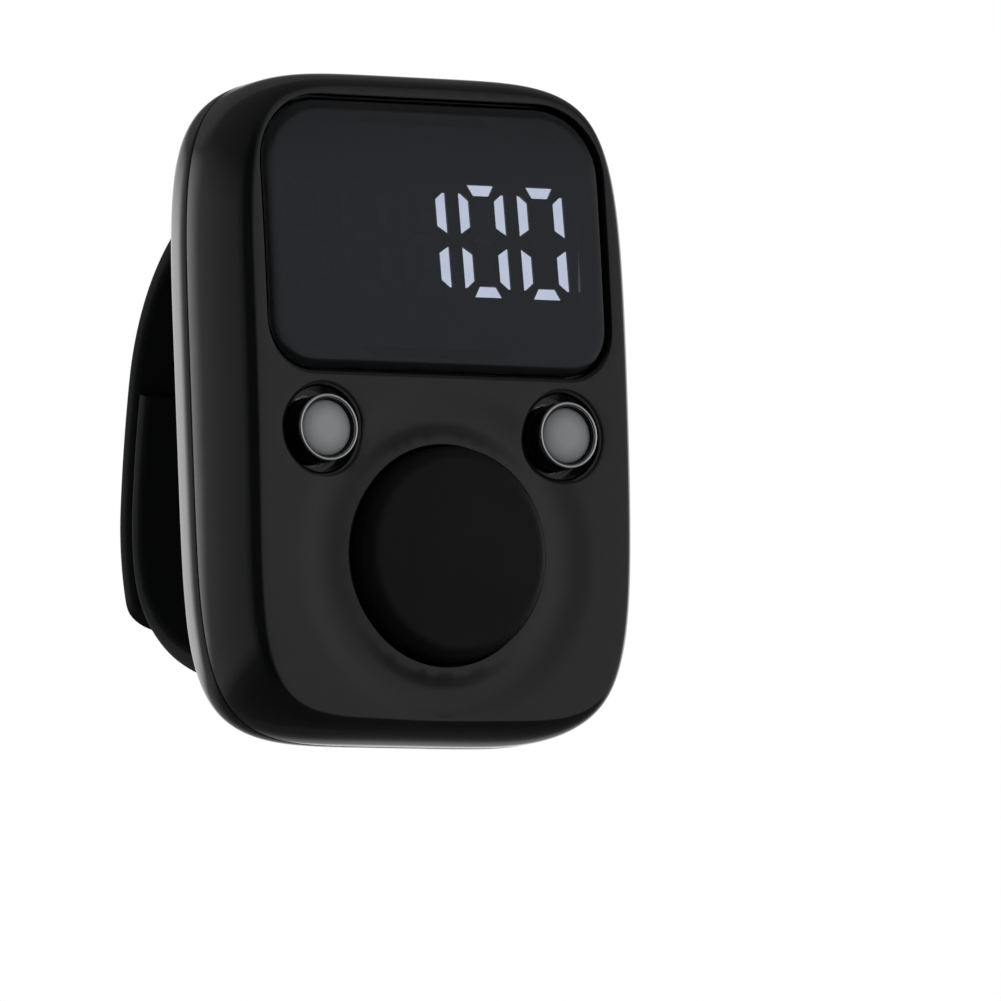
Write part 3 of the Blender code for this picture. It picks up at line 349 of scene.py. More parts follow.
@dataclass(frozen=True)
class LitDiffuser(Finish):
    """Epoxy light guide with its lamp on.

    It glows white with a blue cast that wanders with the phosphor below.
    """

    glow: str = "#dfe8ff"
    warm: str = "#f4f6ff"
    strength: float = 1.0

    def dress(self, tree: bpy.types.NodeTree, shader: bpy.types.Node) -> None:
        """Adds the uneven glow."""
        self.vary(tree, shader, "Emission Color", self.noise(tree, 1.6, 1.0), self.glow, self.warm)
        shader.inputs["Emission Strength"].default_value = self.strength


@dataclass(frozen=True)
class GlassFilledPlastic(Finish):
    """Glass-filled plastic or moulded epoxy, straight from a sandblasted mould.

    It is dull, with a sparse paler speckle of fibre ends.
    """

    speckle: str = "#3a3a3c"
    speckle_size: float = 0.12

    def dress(self, tree: bpy.types.NodeTree, shader: bpy.types.Node) -> None:
        """Adds the speckle and the grain."""
        shader.inputs["IOR"].default_value = 1.56
        fine = self.noise(tree, self.speckle_size, 1.0)
        ends = add_node(tree, "MapRange", {"Value": fine, "From Min": 0.58, "From Max": 0.75})
        self.vary(tree, shader, "Base Color", ends.outputs[0], self.colour, self.speckle)
        self.bump(tree, shader, fine, 0.004)


@dataclass(frozen=True)
class TinPlatedSteel(Finish):
    """Drawn steel sheet with a tin plating.

    It shows fine parallel drawing lines and a soft metallic gloss.
    """

    line_size: float = 0.12

    def dress(self, tree: bpy.types.NodeTree, shader: bpy.types.Node) -> None:
        """Adds the drawing lines."""
        shader.inputs["Metallic"].default_value = 1.0
        lines = self.noise(tree, self.line_size, 2.0, (0.06, 1.0, 1.0))
        self.vary(tree, shader, "Roughness", lines, self.roughness, self.roughness + 0.15)
        self.bump(tree, shader, lines, 0.002)


@dataclass(frozen=True)
class SolderMask(Finish):
    """Glass-epoxy board under a green solder mask, screen printed over etched copper.

    Tracks show as paler green lines, raised a little, in a satin gloss.
    """

    track: str = "#1f5a3a"
    track_pitch: float = 0.9

    def dress(self, tree: bpy.types.NodeTree, shader: bpy.types.Node) -> None:
        """Adds the tracks."""
        shader.inputs["IOR"].default_value = 1.55
        inputs = {
            "Vector": self.place(tree), "Scale": per_metre(self.track_pitch),
            "Randomness": 0.35,
        }
        cells = add_node(tree, "TexVoronoi", inputs, feature="DISTANCE_TO_EDGE", distance="EUCLIDEAN")
        tracks = add_node(tree, "MapRange", {"Value": cells.outputs[0], "From Min": 0.16, "From Max": 0.10})
        self.vary(tree, shader, "Base Color", tracks.outputs[0], self.colour, self.track)
        self.bump(tree, shader, tracks.outputs[0], 0.02)


@dataclass(frozen=True)
class PouchFoil(Finish):
    """Laminated aluminium foil, pressed round a flat cell.

    It is a bright dull silver with soft dents.
    """

    def dress(self, tree: bpy.types.NodeTree, shader: bpy.types.Node) -> None:
        """Adds the dents and the cloudy gloss."""
        shader.inputs["Metallic"].default_value = 1.0
        dents = self.noise(tree, 2.6, 3.0)
        self.vary(tree, shader, "Roughness", dents, self.roughness, self.roughness + 0.15)
        self.bump(tree, shader, dents, 0.03)


@dataclass(frozen=True)
class FoamTape(Finish):
    """Die-cut foam tape with acrylic glue.

    It is dead matt, with open cells that show as pits.
    """

    def dress(self, tree: bpy.types.NodeTree, shader: bpy.types.Node) -> None:
        """Adds the open cells."""
        cells = add_node(tree, "TexVoronoi", {"Vector": self.place(tree), "Scale": per_metre(0.2)})
        self.vary(tree, shader, "Roughness", cells.outputs[0], self.roughness, 1.0)
        self.bump(tree, shader, cells.outputs[0], 0.02)


@dataclass(frozen=True)
class ExtrudedPvc(Finish):
    """Extruded PVC insulation.

    It has a soft gloss with faint lines along the wire.
    """

    def dress(self, tree: bpy.types.NodeTree, shader: bpy.types.Node) -> None:
        """Adds the die lines."""
        shader.inputs["IOR"].default_value = 1.53
        lines = self.noise(tree, 0.1, 1.0, (1.0, 0.1, 0.1))
        self.vary(tree, shader, "Roughness", lines, self.roughness, self.roughness + 0.1)
        self.bump(tree, shader, lines, 0.002)


CASE_ABS = PolishedMouldAbs("polished_mould_abs", "#0a0b0c", 0.1, haze=0.03)
WINDOW_ACRYLIC = SmokedAcrylic("smoked_acrylic", "#5a5c60", 0.02)
KEY_SILICONE = MouldedRubber("fine_blasted_silicone", "#060607", 0.45, dust="#0a0a0b",
                             specular=0.27)
STRAP_TPU = MouldedRubber("satin_moulded_tpu", "#0b0d0f", 0.6, grain_size=0.25, dust="#101214",
                          specular=0.15)
RIM_PLATING = PlatedRim("vacuum_plated_rim", "#d9dadd", 0.12)
# Both caps fade from painted light at the middle to painted shade at the edge; the right cap's colours are
# painted a little darker than the left's, as painted shade.
LEFT_CAP = MilkyPolycarbonate("milky_left_cap", "#8f9092", 0.35, cloud_and_painted_edge_shade="#6c6d6f", painted_light_centre=(-7.85, -1.72))
RIGHT_CAP_PAINTED_DARKER = MilkyPolycarbonate("milky_right_cap_painted_darker", "#8a8b8d", 0.35, cloud_and_painted_edge_shade="#68696b", painted_light_centre=(7.85, -1.72))
DARK_GUIDE = MilkyPolycarbonate("unlit_epoxy_guide", "#a0a1a8", 0.5, cloud_and_painted_edge_shade="#8c8d94")
LIT_GUIDE = LitDiffuser("lit_epoxy_guide", "#e8edff", 0.4, strength=6.0)
REFLECTOR_PBT = GlassFilledPlastic("blackened_reflector_pbt", "#0c0c0e", 0.6, speckle="#161618")
CHIP_EPOXY = GlassFilledPlastic("moulded_chip_epoxy", "#1a1a1b", 0.55)
SWITCH_PBT = GlassFilledPlastic("switch_housing_pbt", "#242426", 0.5, speckle="#39393c")
PLUNGER_PBT = GlassFilledPlastic("natural_plunger_pbt", "#cfc3a6", 0.45, speckle="#dbd2ba")
TIN_STEEL = TinPlatedSteel("tin_plated_steel", "#b4b3af", 0.25)
BOARD_MASK = SolderMask("green_solder_mask", "#0f3b26", 0.35)
CELL_FOIL = PouchFoil("laminated_cell_foil", "#b9babd", 0.3)
BLACK_TAPE = FoamTape("black_foam_tape", "#131313", 0.85)
RED_PVC = ExtrudedPvc("red_extruded_pvc", "#a31d1d", 0.4)
BLACK_PVC = ExtrudedPvc("black_extruded_pvc", "#1b1b1c", 0.4)

CAD_FINISHES: dict[str, Finish] = {
    "window_tape": BLACK_TAPE,
    "display_case": REFLECTOR_PBT,
    "main_board": BOARD_MASK,
    "controller_chip": CHIP_EPOXY,
    "charger_chip": CHIP_EPOXY,
    "timing_crystal": TIN_STEEL,
    "socket_tongue": CHIP_EPOXY,
    "battery_cell": CELL_FOIL,
    "battery_tape": BLACK_TAPE,
    "red_lead": RED_PVC,
    "black_lead": BLACK_PVC,
    "count_switch_body": SWITCH_PBT,
    "left_switch_body": SWITCH_PBT,
    "right_switch_body": SWITCH_PBT,
    "count_switch_plunger": PLUNGER_PBT,
    "left_switch_plunger": PLUNGER_PBT,
    "right_switch_plunger": PLUNGER_PBT,
    "left_board_screw": TIN_STEEL,
    "right_board_screw": TIN_STEEL,
}


# Outlines in the X-Z plane


def superellipse(half_width: float, half_height: float, power: float, quarter: int) -> list[Flat]:
    """Superellipse, anticlockwise from just past +X.

    Args:
        half_width: reach along X.
        half_height: reach along Z.
        power: squareness.
        quarter: number of points in a quarter.

    Returns:
        The points of the loop.
    """
    points = []
    for step in range(4 * quarter):
        turn, share = divmod((step + 0.5) / quarter, 1)
        bent = share ** 2 * (3 - 2 * share)
        angle = math.pi / 2 * (turn + bent)
        c, s = math.cos(angle), math.sin(angle)
        points.append((
            half_width * math.copysign(abs(c) ** (2 / power), c),
            half_height * math.copysign(abs(s) ** (2 / power), s),
        ))
    return points


def circle(x: float, z: float, radius: float, steps: int) -> list[Flat]:
    """Circle round (x, z), anticlockwise.

    Args:
        x: middle along X.
        z: middle along Z.
        radius: radius.
        steps: number of points.

    Returns:
        The points of the loop.
    """
    turns = [2 * math.pi * (step + 0.5) / steps for step in range(steps)]
    return [(x + radius * math.cos(a), z + radius * math.sin(a)) for a in turns]


def rounded_box(half_width: float, half_height: float, corners: Sequence[float],
                z: float = 0.0, steps: int = 10, side: int = 8) -> list[Flat]:
    """Rectangle with rounded corners, anticlockwise from the lower right.

    Args:
        half_width: reach along X.
        half_height: reach along Z.
        corners: radius of the lower and of the upper corners.
        z: middle along Z.
        steps: steps in each corner.
        side: steps along each side.

    Returns:
        The points of the loop.
    """
    low, high = corners
    places = ((1, -1, low, -90), (1, 1, high, 0), (-1, 1, high, 90), (-1, -1, low, 180))
    arcs = []
    for sx, sz, radius, start in places:
        arc = []
        for step in range(steps + 1):
            angle = math.radians(start + 90 * step / steps)
            arc.append((
                sx * (half_width - radius) + radius * math.cos(angle),
                z + sz * (half_height - radius) + radius * math.sin(angle),
            ))
        arcs.append(arc)
    points = []
    for arc, following in zip(arcs, arcs[1:] + arcs[:1]):
        points += arc
        start, end = arc[-1], following[0]
        for step in range(1, side):
            share = step / side
            points.append((start[0] + share * (end[0] - start[0]), start[1] + share * (end[1] - start[1])))
    return points


def inside(point: Flat, loop: Sequence[Flat]) -> bool:
    """Tells whether a point lies in a loop.

    Args:
        point: the point.
        loop: the loop's corners.

    Returns:
        True if it does.
    """
    x, z = point
    within = False
    for (ax, az), (bx, bz) in zip(loop, list(loop[1:]) + [loop[0]]):
        if (az > z) != (bz > z) and x < (bx - ax) * (z - az) / (bz - az) + ax:
            within = not within
    return within


# Mesh building


class Skin:
    """Closed mesh that is put together from rings and plates."""

    def __init__(self) -> None:
        """Starts with no points."""
        self.points: list[Point] = []
        self.faces: list[tuple[int, ...]] = []
        self.slots: list[int] = []

    def ring(self, points: Iterable[Point]) -> list[int]:
        """Adds a loop of points.

        Args:
            points: the points, in millimetres.

        Returns:
            Their numbers.
        """
        start = len(self.points)
        self.points += points
        return list(range(start, len(self.points)))

    def face(self, corners: Sequence[int], slot: int = 0) -> None:
        """Adds one face with a material slot."""
        self.faces.append(tuple(corners))
        self.slots.append(slot)

    def bridge(self, a: Sequence[int], b: Sequence[int], slot: int = 0) -> None:
        """Joins two loops of one length by a band of faces.

        Args:
            a: first loop.
            b: second loop.
            slot: material slot of the band.
        """
        for step in range(len(a)):
            other = (step + 1) % len(a)
            self.face((a[step], a[other], b[other], b[step]), slot)

    def stack(self, rings: Sequence[Sequence[int]], slot: int = 0) -> None:
        """Joins each loop to the next."""
        for a, b in zip(rings, rings[1:]):
            self.bridge(a, b, slot)

    def cap(self, ring: Sequence[int], slot: int = 0) -> None:
        """Closes a loop with one face."""
        self.face(ring, slot)

    def plate(self, outer: Sequence[int], holes: Sequence[Sequence[int]], extra: Sequence[int] = (),
              slot: int = 0) -> None:
        """Fills the space between an outer loop and holes with triangles.

        Args:
            outer: outer loop.
            holes: loops of the holes.
            extra: further points to use.
            slot: material slot of the triangles.
        """
        numbers = list(outer) + [n for hole in holes for n in hole] + list(extra)
        flat = [Vector((self.points[n][0], self.points[n][2])) for n in numbers]
        edges = []
        start = 0
        for loop in (outer, *holes):
            count = len(loop)
            edges += [(start + step, start + (step + 1) % count) for step in range(count)]
            start += count
        found = delaunay_2d_cdt(flat, edges, [], 0, 1e-6)
        loops = [[(self.points[n][0], self.points[n][2]) for n in loop] for loop in (outer, *holes)]
        for triangle in found[2]:
            corners = [numbers[found[3][corner][0]] for corner in triangle]
            x = sum(self.points[n][0] for n in corners) / 3
            z = sum(self.points[n][2] for n in corners) / 3
            if inside((x, z), loops[0]) and not any(inside((x, z), hole) for hole in loops[1:]):
                self.face(corners, slot)

    def piece(self, name: str, finishes: Sequence[Finish], sharp: float = 40.0) -> bpy.types.Object:
        """Makes the object.

        Args:
            name: name of the piece.
            finishes: finish of each material slot.
            sharp: angle, in degrees, above which an edge stays sharp.

        Returns:
            The object, in metres.
        """
        mesh = bpy.data.meshes.new(name)
        mesh.from_pydata([Vector(p) * MM for p in self.points], [], self.faces)
        mesh.polygons.foreach_set("material_index", self.slots)
        for finish in finishes:
            mesh.materials.append(finish.material())
        made = bpy.data.objects.new(name, mesh)
        bpy.context.scene.collection.objects.link(made)
        settle(made, sharp)
        return made


def settle(piece: bpy.types.Object, sharp: float = 40.0) -> None:
    """Turns a piece's faces outwards and shades it smooth up to an angle.

    Args:
        piece: the piece.
        sharp: the angle, in degrees.
    """
    work = bmesh.new()
    work.from_mesh(piece.data)
    bmesh.ops.recalc_face_normals(work, faces=work.faces)
    work.to_mesh(piece.data)
    work.free()
    piece.data.shade_smooth()
    piece.data.set_sharp_from_angle(angle=math.radians(sharp))


def carve(piece: bpy.types.Object, tools: Sequence[bpy.types.Object], sharp: float = 40.0) -> None:
    """Cuts tools out of a piece and removes them.

    Args:
        piece: the piece.
        tools: closed shapes to cut away.
        sharp: angle for the shading afterwards.
    """
    for tool in tools:
        modifier = piece.modifiers.new("cut", "BOOLEAN")
        modifier.solver = "EXACT"
        modifier.operation = "DIFFERENCE"
        modifier.object = tool
    bpy.context.view_layer.update()
    graph = bpy.context.evaluated_depsgraph_get()
    mesh = bpy.data.meshes.new_from_object(piece.evaluated_get(graph))
    piece.modifiers.clear()
    piece.data = mesh
    for tool in tools:
        bpy.data.objects.remove(tool, do_unlink=True)
    settle(piece, sharp)


def prism(outline: Sequence[Flat], place: Callable[[float, float, float], Point],
          low: float, high: float) -> bpy.types.Object:
    """Straight-sided tool for cutting.

    Args:
        outline: loop of the tool's section.
        place: turns a section point and a depth into a place.
        low: depth of one end.
        high: depth of the other end.

    Returns:
        The tool.
    """
    skin = Skin()
    rings = [skin.ring(place(a, b, depth) for a, b in outline) for depth in (low, high)]
    skin.stack(rings)
    for ring in rings:
        skin.cap(ring)
    return skin.piece("cutting_tool", [])


def seat(piece: bpy.types.Object, body: Body, slot: Slot, *nodes: str) -> bpy.types.Object:
    """Ties a piece to its body and hides the CAD nodes that it stands for.

    Args:
        piece: the piece.
        body: body that it rides on.
        slot: record slot of its finish; not used.
        nodes: CAD nodes that it replaces.

    Returns:
        The piece.
    """
    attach(piece, body.value)
    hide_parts(*nodes)
    LOG.info("%s: %d faces, for %s", piece.name, len(piece.data.polygons), ", ".join(nodes))
    return piece


# The counter


@dataclass(frozen=True)
class Layout:
    """Sizes that several sub-assemblies share."""

    width: float = 26.1
    height: float = 37.9
    power: float = 5.3
    face_apex_y: float = -9.3
    face_apex_z: float = 3.5
    face_radius: float = 200.0
    inner_y: float = -6.7
    seam_y: float = -3.5
    seam_gap: float = 0.05
    side_wall: float = 1.3
    window_width: float = 22.52
    window_height: float = 15.65
    window_z: float = 9.425
    window_corners: Flat = (2.9, 4.1)
    ledge: float = 1.5
    lens: float = 1.0
    tape: float = 0.12
    tight: float = 0.03
    count_z: float = -8.66
    count_radius: float = 6.05
    small_x: float = 7.85
    small_z: float = -1.72
    ring_radius: float = 1.9
    gap: float = 0.15
    trough_width: float = 3.8
    trough_depth: float = 0.25
    socket_y: float = -3.7
    socket_z: float = -7.7
    flange_front_y: float = -6.55
    flange_rear_y: float = -5.95
    pusher_rear_y: float = -5.7

    def outline(self, inset: float, quarter: int = 40) -> list[Flat]:
        """Housing outline, drawn in by inset everywhere.

        Args:
            inset: distance to the housing outline.
            quarter: number of points in a quarter.

        Returns:
            The points of the loop.
        """
        half_w, half_h = self.width / 2, self.height / 2
        found = []
        for x, z in superellipse(half_w, half_h, self.power, quarter):
            steep = self.power - 1
            out = Vector((math.copysign(abs(x / half_w) ** steep / half_w, x),
                          math.copysign(abs(z / half_h) ** steep / half_h, z))).normalized()
            found.append((x - inset * out.x, z - inset * out.y))
        return found

    def window(self, inset: float) -> list[Flat]:
        """Window outline, drawn in by inset."""
        corners = [max(corner - inset, 2 * self.tight) for corner in self.window_corners]
        return rounded_box(self.window_width / 2 - inset, self.window_height / 2 - inset,
                           corners, self.window_z)

    def face(self, z: float) -> float:
        """Depth of the bowed face at height z."""
        return self.face_apex_y + (z - self.face_apex_z) ** 2 / (2 * self.face_radius)

    def dished(self, x: float, z: float) -> float:
        """Depth of the face with the hollow round the count button.

        Args:
            x: place along X.
            z: place along Z.

        Returns:
            The depth.
        """
        share = (math.hypot(x, z - self.count_z) - self.count_radius) / self.trough_width
        hollow = self.trough_depth * math.sin(math.pi * share) ** 2 if 0 < share < 1 else 0.0
        return self.face(z) + hollow

    def tangent(self, centre_z: float, z: float) -> float:
        """Depth at z of the plane that touches the bare face at centre_z."""
        slope = (centre_z - self.face_apex_z) / self.face_radius
        return self.face(centre_z) + slope * (z - centre_z)


@dataclass(frozen=True)
class Housing:
    """Front shell and back cover."""

    layout: Layout
    face_edge: Flat = (1.15, 3.7)
    rear_edge: Flat = (1.6, 3.2)
    seam_edge: float = 0.07
    rim_edge: float = 0.1
    window_edge: Flat = (0.3, 0.08)
    recess_edge: float = 0.4
    recess_radius: float = 2.4
    recess_depth: float = 1.2
    cover_wall: float = 1.3
    lip: float = 0.6
    lip_height: float = 0.8
    strap_slot: Flat = (15.2, 1.4)
    slot_heights: Flat = (13.2, -14.2)
    port: Flat = (7.8, 2.75)
    boss: tuple[float, float, float, float] = (8.2, -13.9, 1.5, 0.63)
    boss_rear_y: float = -4.2
    grid: float = 0.7
    steps: int = 6

    def build(self) -> None:
        """Builds both halves."""
        seat(self.front(), Body.HOUSING, Slot.CASE, "front_shell")
        seat(self.back(), Body.HOUSING, Slot.CASE, "back_cover")

    def rim(self, skin: Skin, loop: Callable[[float], list[Flat]], floor: Callable[[float, float], float],
            radius: float) -> list[list[int]]:
        """Rounded edge where a hole meets the face.

        Args:
            skin: mesh that gets the rings.
            loop: outline of the hole, grown by a distance.
            floor: depth of the face at a place.
            radius: radius of the rounding.

        Returns:
            Rings from the face into the hole.
        """
        rings = []
        for step in range(self.steps):
            angle = math.pi / 2 * step / (self.steps - 1)
            grown, sunk = radius * (1 - math.sin(angle)), radius * (1 - math.cos(angle))
            rings.append(skin.ring((x, floor(x, z) + sunk, z) for x, z in loop(grown)))
        return rings

    def front(self) -> bpy.types.Object:
        """Front shell: bowed face, rounded edges, and rims round every opening.

        Returns:
            The piece.
        """
        at = self.layout
        skin = Skin()
        cavity = skin.ring((x, at.inner_y, z) for x, z in at.outline(at.side_wall))
        inner_seam = skin.ring((x, at.seam_y, z) for x, z in at.outline(at.side_wall))
        edge = []
        for step in range(self.steps):
            angle = math.pi / 2 * step / (self.steps - 1)
            inset, back = self.seam_edge * (1 - math.sin(angle)), self.seam_edge * (1 - math.cos(angle))
            edge.append(skin.ring((x, at.seam_y - back, z) for x, z in at.outline(inset)))
        brow = []
        wide, deep = self.face_edge
        for step in range(4 * self.steps + 1):
            angle = math.pi / 2 * (1 - step / (4 * self.steps))
            inset, sunk = wide * (1 - math.sin(angle)), deep * (1 - math.cos(angle))
            brow.append(skin.ring((x, at.dished(x, z) + sunk, z) for x, z in at.outline(inset)))
        skin.stack([cavity, inner_seam, *edge, *brow])
        holes, inner = [], []
        self.count_opening(skin, holes, inner)
        for sign in (-1, 1):
            self.small_opening(skin, sign, holes, inner)
            self.boss_ring(skin, sign, inner)
        self.window_opening(skin, holes, inner)
        skin.plate(brow[-1], holes, self.filler(skin, brow[-1], holes))
        skin.plate(cavity, inner)
        shell = skin.piece("front_shell_moulding", [CASE_ABS])
        carve(shell, [self.port_tool()])
        return shell

    def count_opening(self, skin: Skin, holes: list[list[int]], inner: list[list[int]]) -> None:
        """Hole of the count button, with its rim."""
        at = self.layout
        radius = at.count_radius + at.gap
        rings = self.rim(skin, lambda grown: circle(0, at.count_z, radius + grown, 96),
                         at.dished, self.rim_edge)
        rings.append(skin.ring((x, at.inner_y, z) for x, z in circle(0, at.count_z, radius, 96)))
        skin.stack(rings)
        holes.append(rings[0])
        inner.append(rings[-1])

    def small_opening(self, skin: Skin, sign: int, holes: list[list[int]], inner: list[list[int]]) -> None:
        """Recess and hole of a small button."""
        at = self.layout
        x0, z0 = sign * at.small_x, at.small_z
        rings = self.rim(skin, lambda grown: circle(x0, z0, self.recess_radius + grown, 64),
                         at.dished, self.recess_edge)
        floor = [circle(x0, z0, radius, 64) for radius in (self.recess_radius, at.ring_radius + at.gap)]
        for loop in floor:
            rings.append(skin.ring((x, at.face(z) + self.recess_depth, z) for x, z in loop))
        rings.append(skin.ring((x, at.inner_y, z) for x, z in floor[-1]))
        skin.stack(rings)
        holes.append(rings[0])
        inner.append(rings[-1])

    def boss_ring(self, skin: Skin, sign: int, inner: list[list[int]]) -> None:
        """Screw boss behind the face, with its pilot hole."""
        at = self.layout
        x0, z0, radius, pilot = self.boss
        levels = ((radius, at.inner_y), (radius, self.boss_rear_y), (pilot, self.boss_rear_y),
                  (pilot, self.boss_rear_y - 1.7))
        rings = [skin.ring((x, y, z) for x, z in circle(sign * x0, z0, r, 32)) for r, y in levels]
        skin.stack(rings)
        skin.cap(rings[-1])
        inner.append(rings[0])

    def window_opening(self, skin: Skin, holes: list[list[int]], inner: list[list[int]]) -> None:
        """Pocket of the window and the opening in its ledge."""
        at = self.layout
        rings = []
        for step in range(self.steps):
            angle = math.pi / 2 * step / (self.steps - 1)
            outer, share = at.window(-self.window_edge[0]), 1 - math.sin(angle)
            loop = []
            for (x, z), (far_x, far_z) in zip(at.window(0.0), outer):
                radius = self.window_rim(z)
                part = share * radius / self.window_edge[0]
                x, z = x + part * (far_x - x), z + part * (far_z - z)
                loop.append((x, at.dished(x, z) + radius * (1 - math.cos(angle)), z))
            rings.append(skin.ring(loop))
        depth = at.lens + at.tape + 2 * at.tight
        for inset in (0.0, at.ledge):
            rings.append(skin.ring((x, at.face(z) + depth, z) for x, z in at.window(inset)))
        rings.append(skin.ring((x, at.inner_y, z) for x, z in at.window(at.ledge)))
        skin.stack(rings)
        holes.append(rings[0])
        inner.append(rings[-1])

    def window_rim(self, z: float) -> float:
        """Radius of the window's rim at a height: soft along the bottom, crisp above."""
        at = self.layout
        low, high = self.window_edge
        share = (z - at.window_z + at.window_height / 2) / at.window_corners[0]
        share = min(max(share, 0.0), 1.0)
        return low + (high - low) * share * share * (3 - 2 * share)

    def filler(self, skin: Skin, outer: Sequence[int], holes: Sequence[Sequence[int]]) -> list[int]:
        """Points that spread over the face between its openings.

        Args:
            skin: mesh that gets the points.
            outer: loop round the face.
            holes: loops of its openings.

        Returns:
            Numbers of the points.
        """
        at = self.layout
        loops = [[(skin.points[n][0], skin.points[n][2]) for n in loop] for loop in (outer, *holes)]
        edge = [point for loop in loops for point in loop]
        spots: list[Flat] = []
        rows, columns = int(at.height / self.grid), int(at.width / self.grid)
        for row in range(-rows // 2, rows // 2 + 1):
            for column in range(-columns // 2, columns // 2 + 1):
                spots.append((column * self.grid, row * self.grid))
        hollow_end = at.count_radius + at.trough_width
        kept = [(x, z) for x, z in spots if math.hypot(x, z - at.count_z) > hollow_end + self.grid / 3]
        ring = at.count_radius + at.gap + self.rim_edge + 0.3
        while ring < hollow_end + self.grid / 3:
            kept += circle(0, at.count_z, ring, 96)
            ring += 0.35
        near = 0.3 ** 2
        clear = [
            (x, z) for x, z in kept
            if inside((x, z), loops[0]) and not any(inside((x, z), hole) for hole in loops[1:])
            and min((x - a) ** 2 + (z - b) ** 2 for a, b in edge) > near
        ]
        return skin.ring((x, at.dished(x, z), z) for x, z in clear)

    def port_tool(self) -> bpy.types.Object:
        """Tool that cuts the charging port through the side wall."""
        at = self.layout
        half_long, half_high = self.port[0] / 2, self.port[1] / 2
        loop = rounded_box(half_high, half_long, (half_high - 0.01, half_high - 0.01), 0.0, 8, 2)
        return prism(loop, lambda a, b, depth: (depth, at.socket_y + a, at.socket_z + b),
                     at.width / 2 - 3.0, at.width / 2 + 1.0)

    def back(self) -> bpy.types.Object:
        """Back cover: round rear edge, lip inside the seam, and slots for the strap.

        Returns:
            The piece.
        """
        at = self.layout
        skin = Skin()
        rings = []
        for step in range(3 * self.steps + 1):
            angle = math.pi / 2 * step / (3 * self.steps)
            wide, deep = self.rear_edge
            inset = wide * (1 - math.sin(angle))
            rings.append(self.level(skin, inset, -deep * (1 - math.cos(angle))))
        front_y = at.seam_y + at.seam_gap
        for step in range(self.steps):
            angle = math.pi / 2 * step / (self.steps - 1)
            inset, ahead = self.seam_edge * (1 - math.cos(angle)), self.seam_edge * math.sin(angle)
            rings.append(self.level(skin, inset, front_y + self.seam_edge - ahead))
        lip_outer = at.side_wall + 0.1
        lip_inner = lip_outer + self.lip
        rings.append(self.level(skin, lip_outer, front_y))
        rings.append(self.level(skin, lip_outer, at.seam_y - self.lip_height))
        rings.append(self.level(skin, lip_inner, at.seam_y - self.lip_height))
        rings.append(self.level(skin, lip_inner, -self.cover_wall))
        skin.stack(rings)
        skin.cap(rings[0])
        skin.cap(rings[-1])
        cover = skin.piece("back_cover_moulding", [CASE_ABS])
        tools = [self.port_tool()]
        for z0 in self.slot_heights:
            loop = rounded_box(self.strap_slot[0] / 2, self.strap_slot[1] / 2, (0.3, 0.3), z0, 4, 2)
            tools.append(prism(loop, lambda a, b, depth: (a, depth, b), -3.0, 1.0))
        carve(cover, tools)
        return cover

    def level(self, skin: Skin, inset: float, y: float) -> list[int]:
        """Ring of the housing outline at one depth."""
        return skin.ring((x, y, z) for x, z in self.layout.outline(inset))


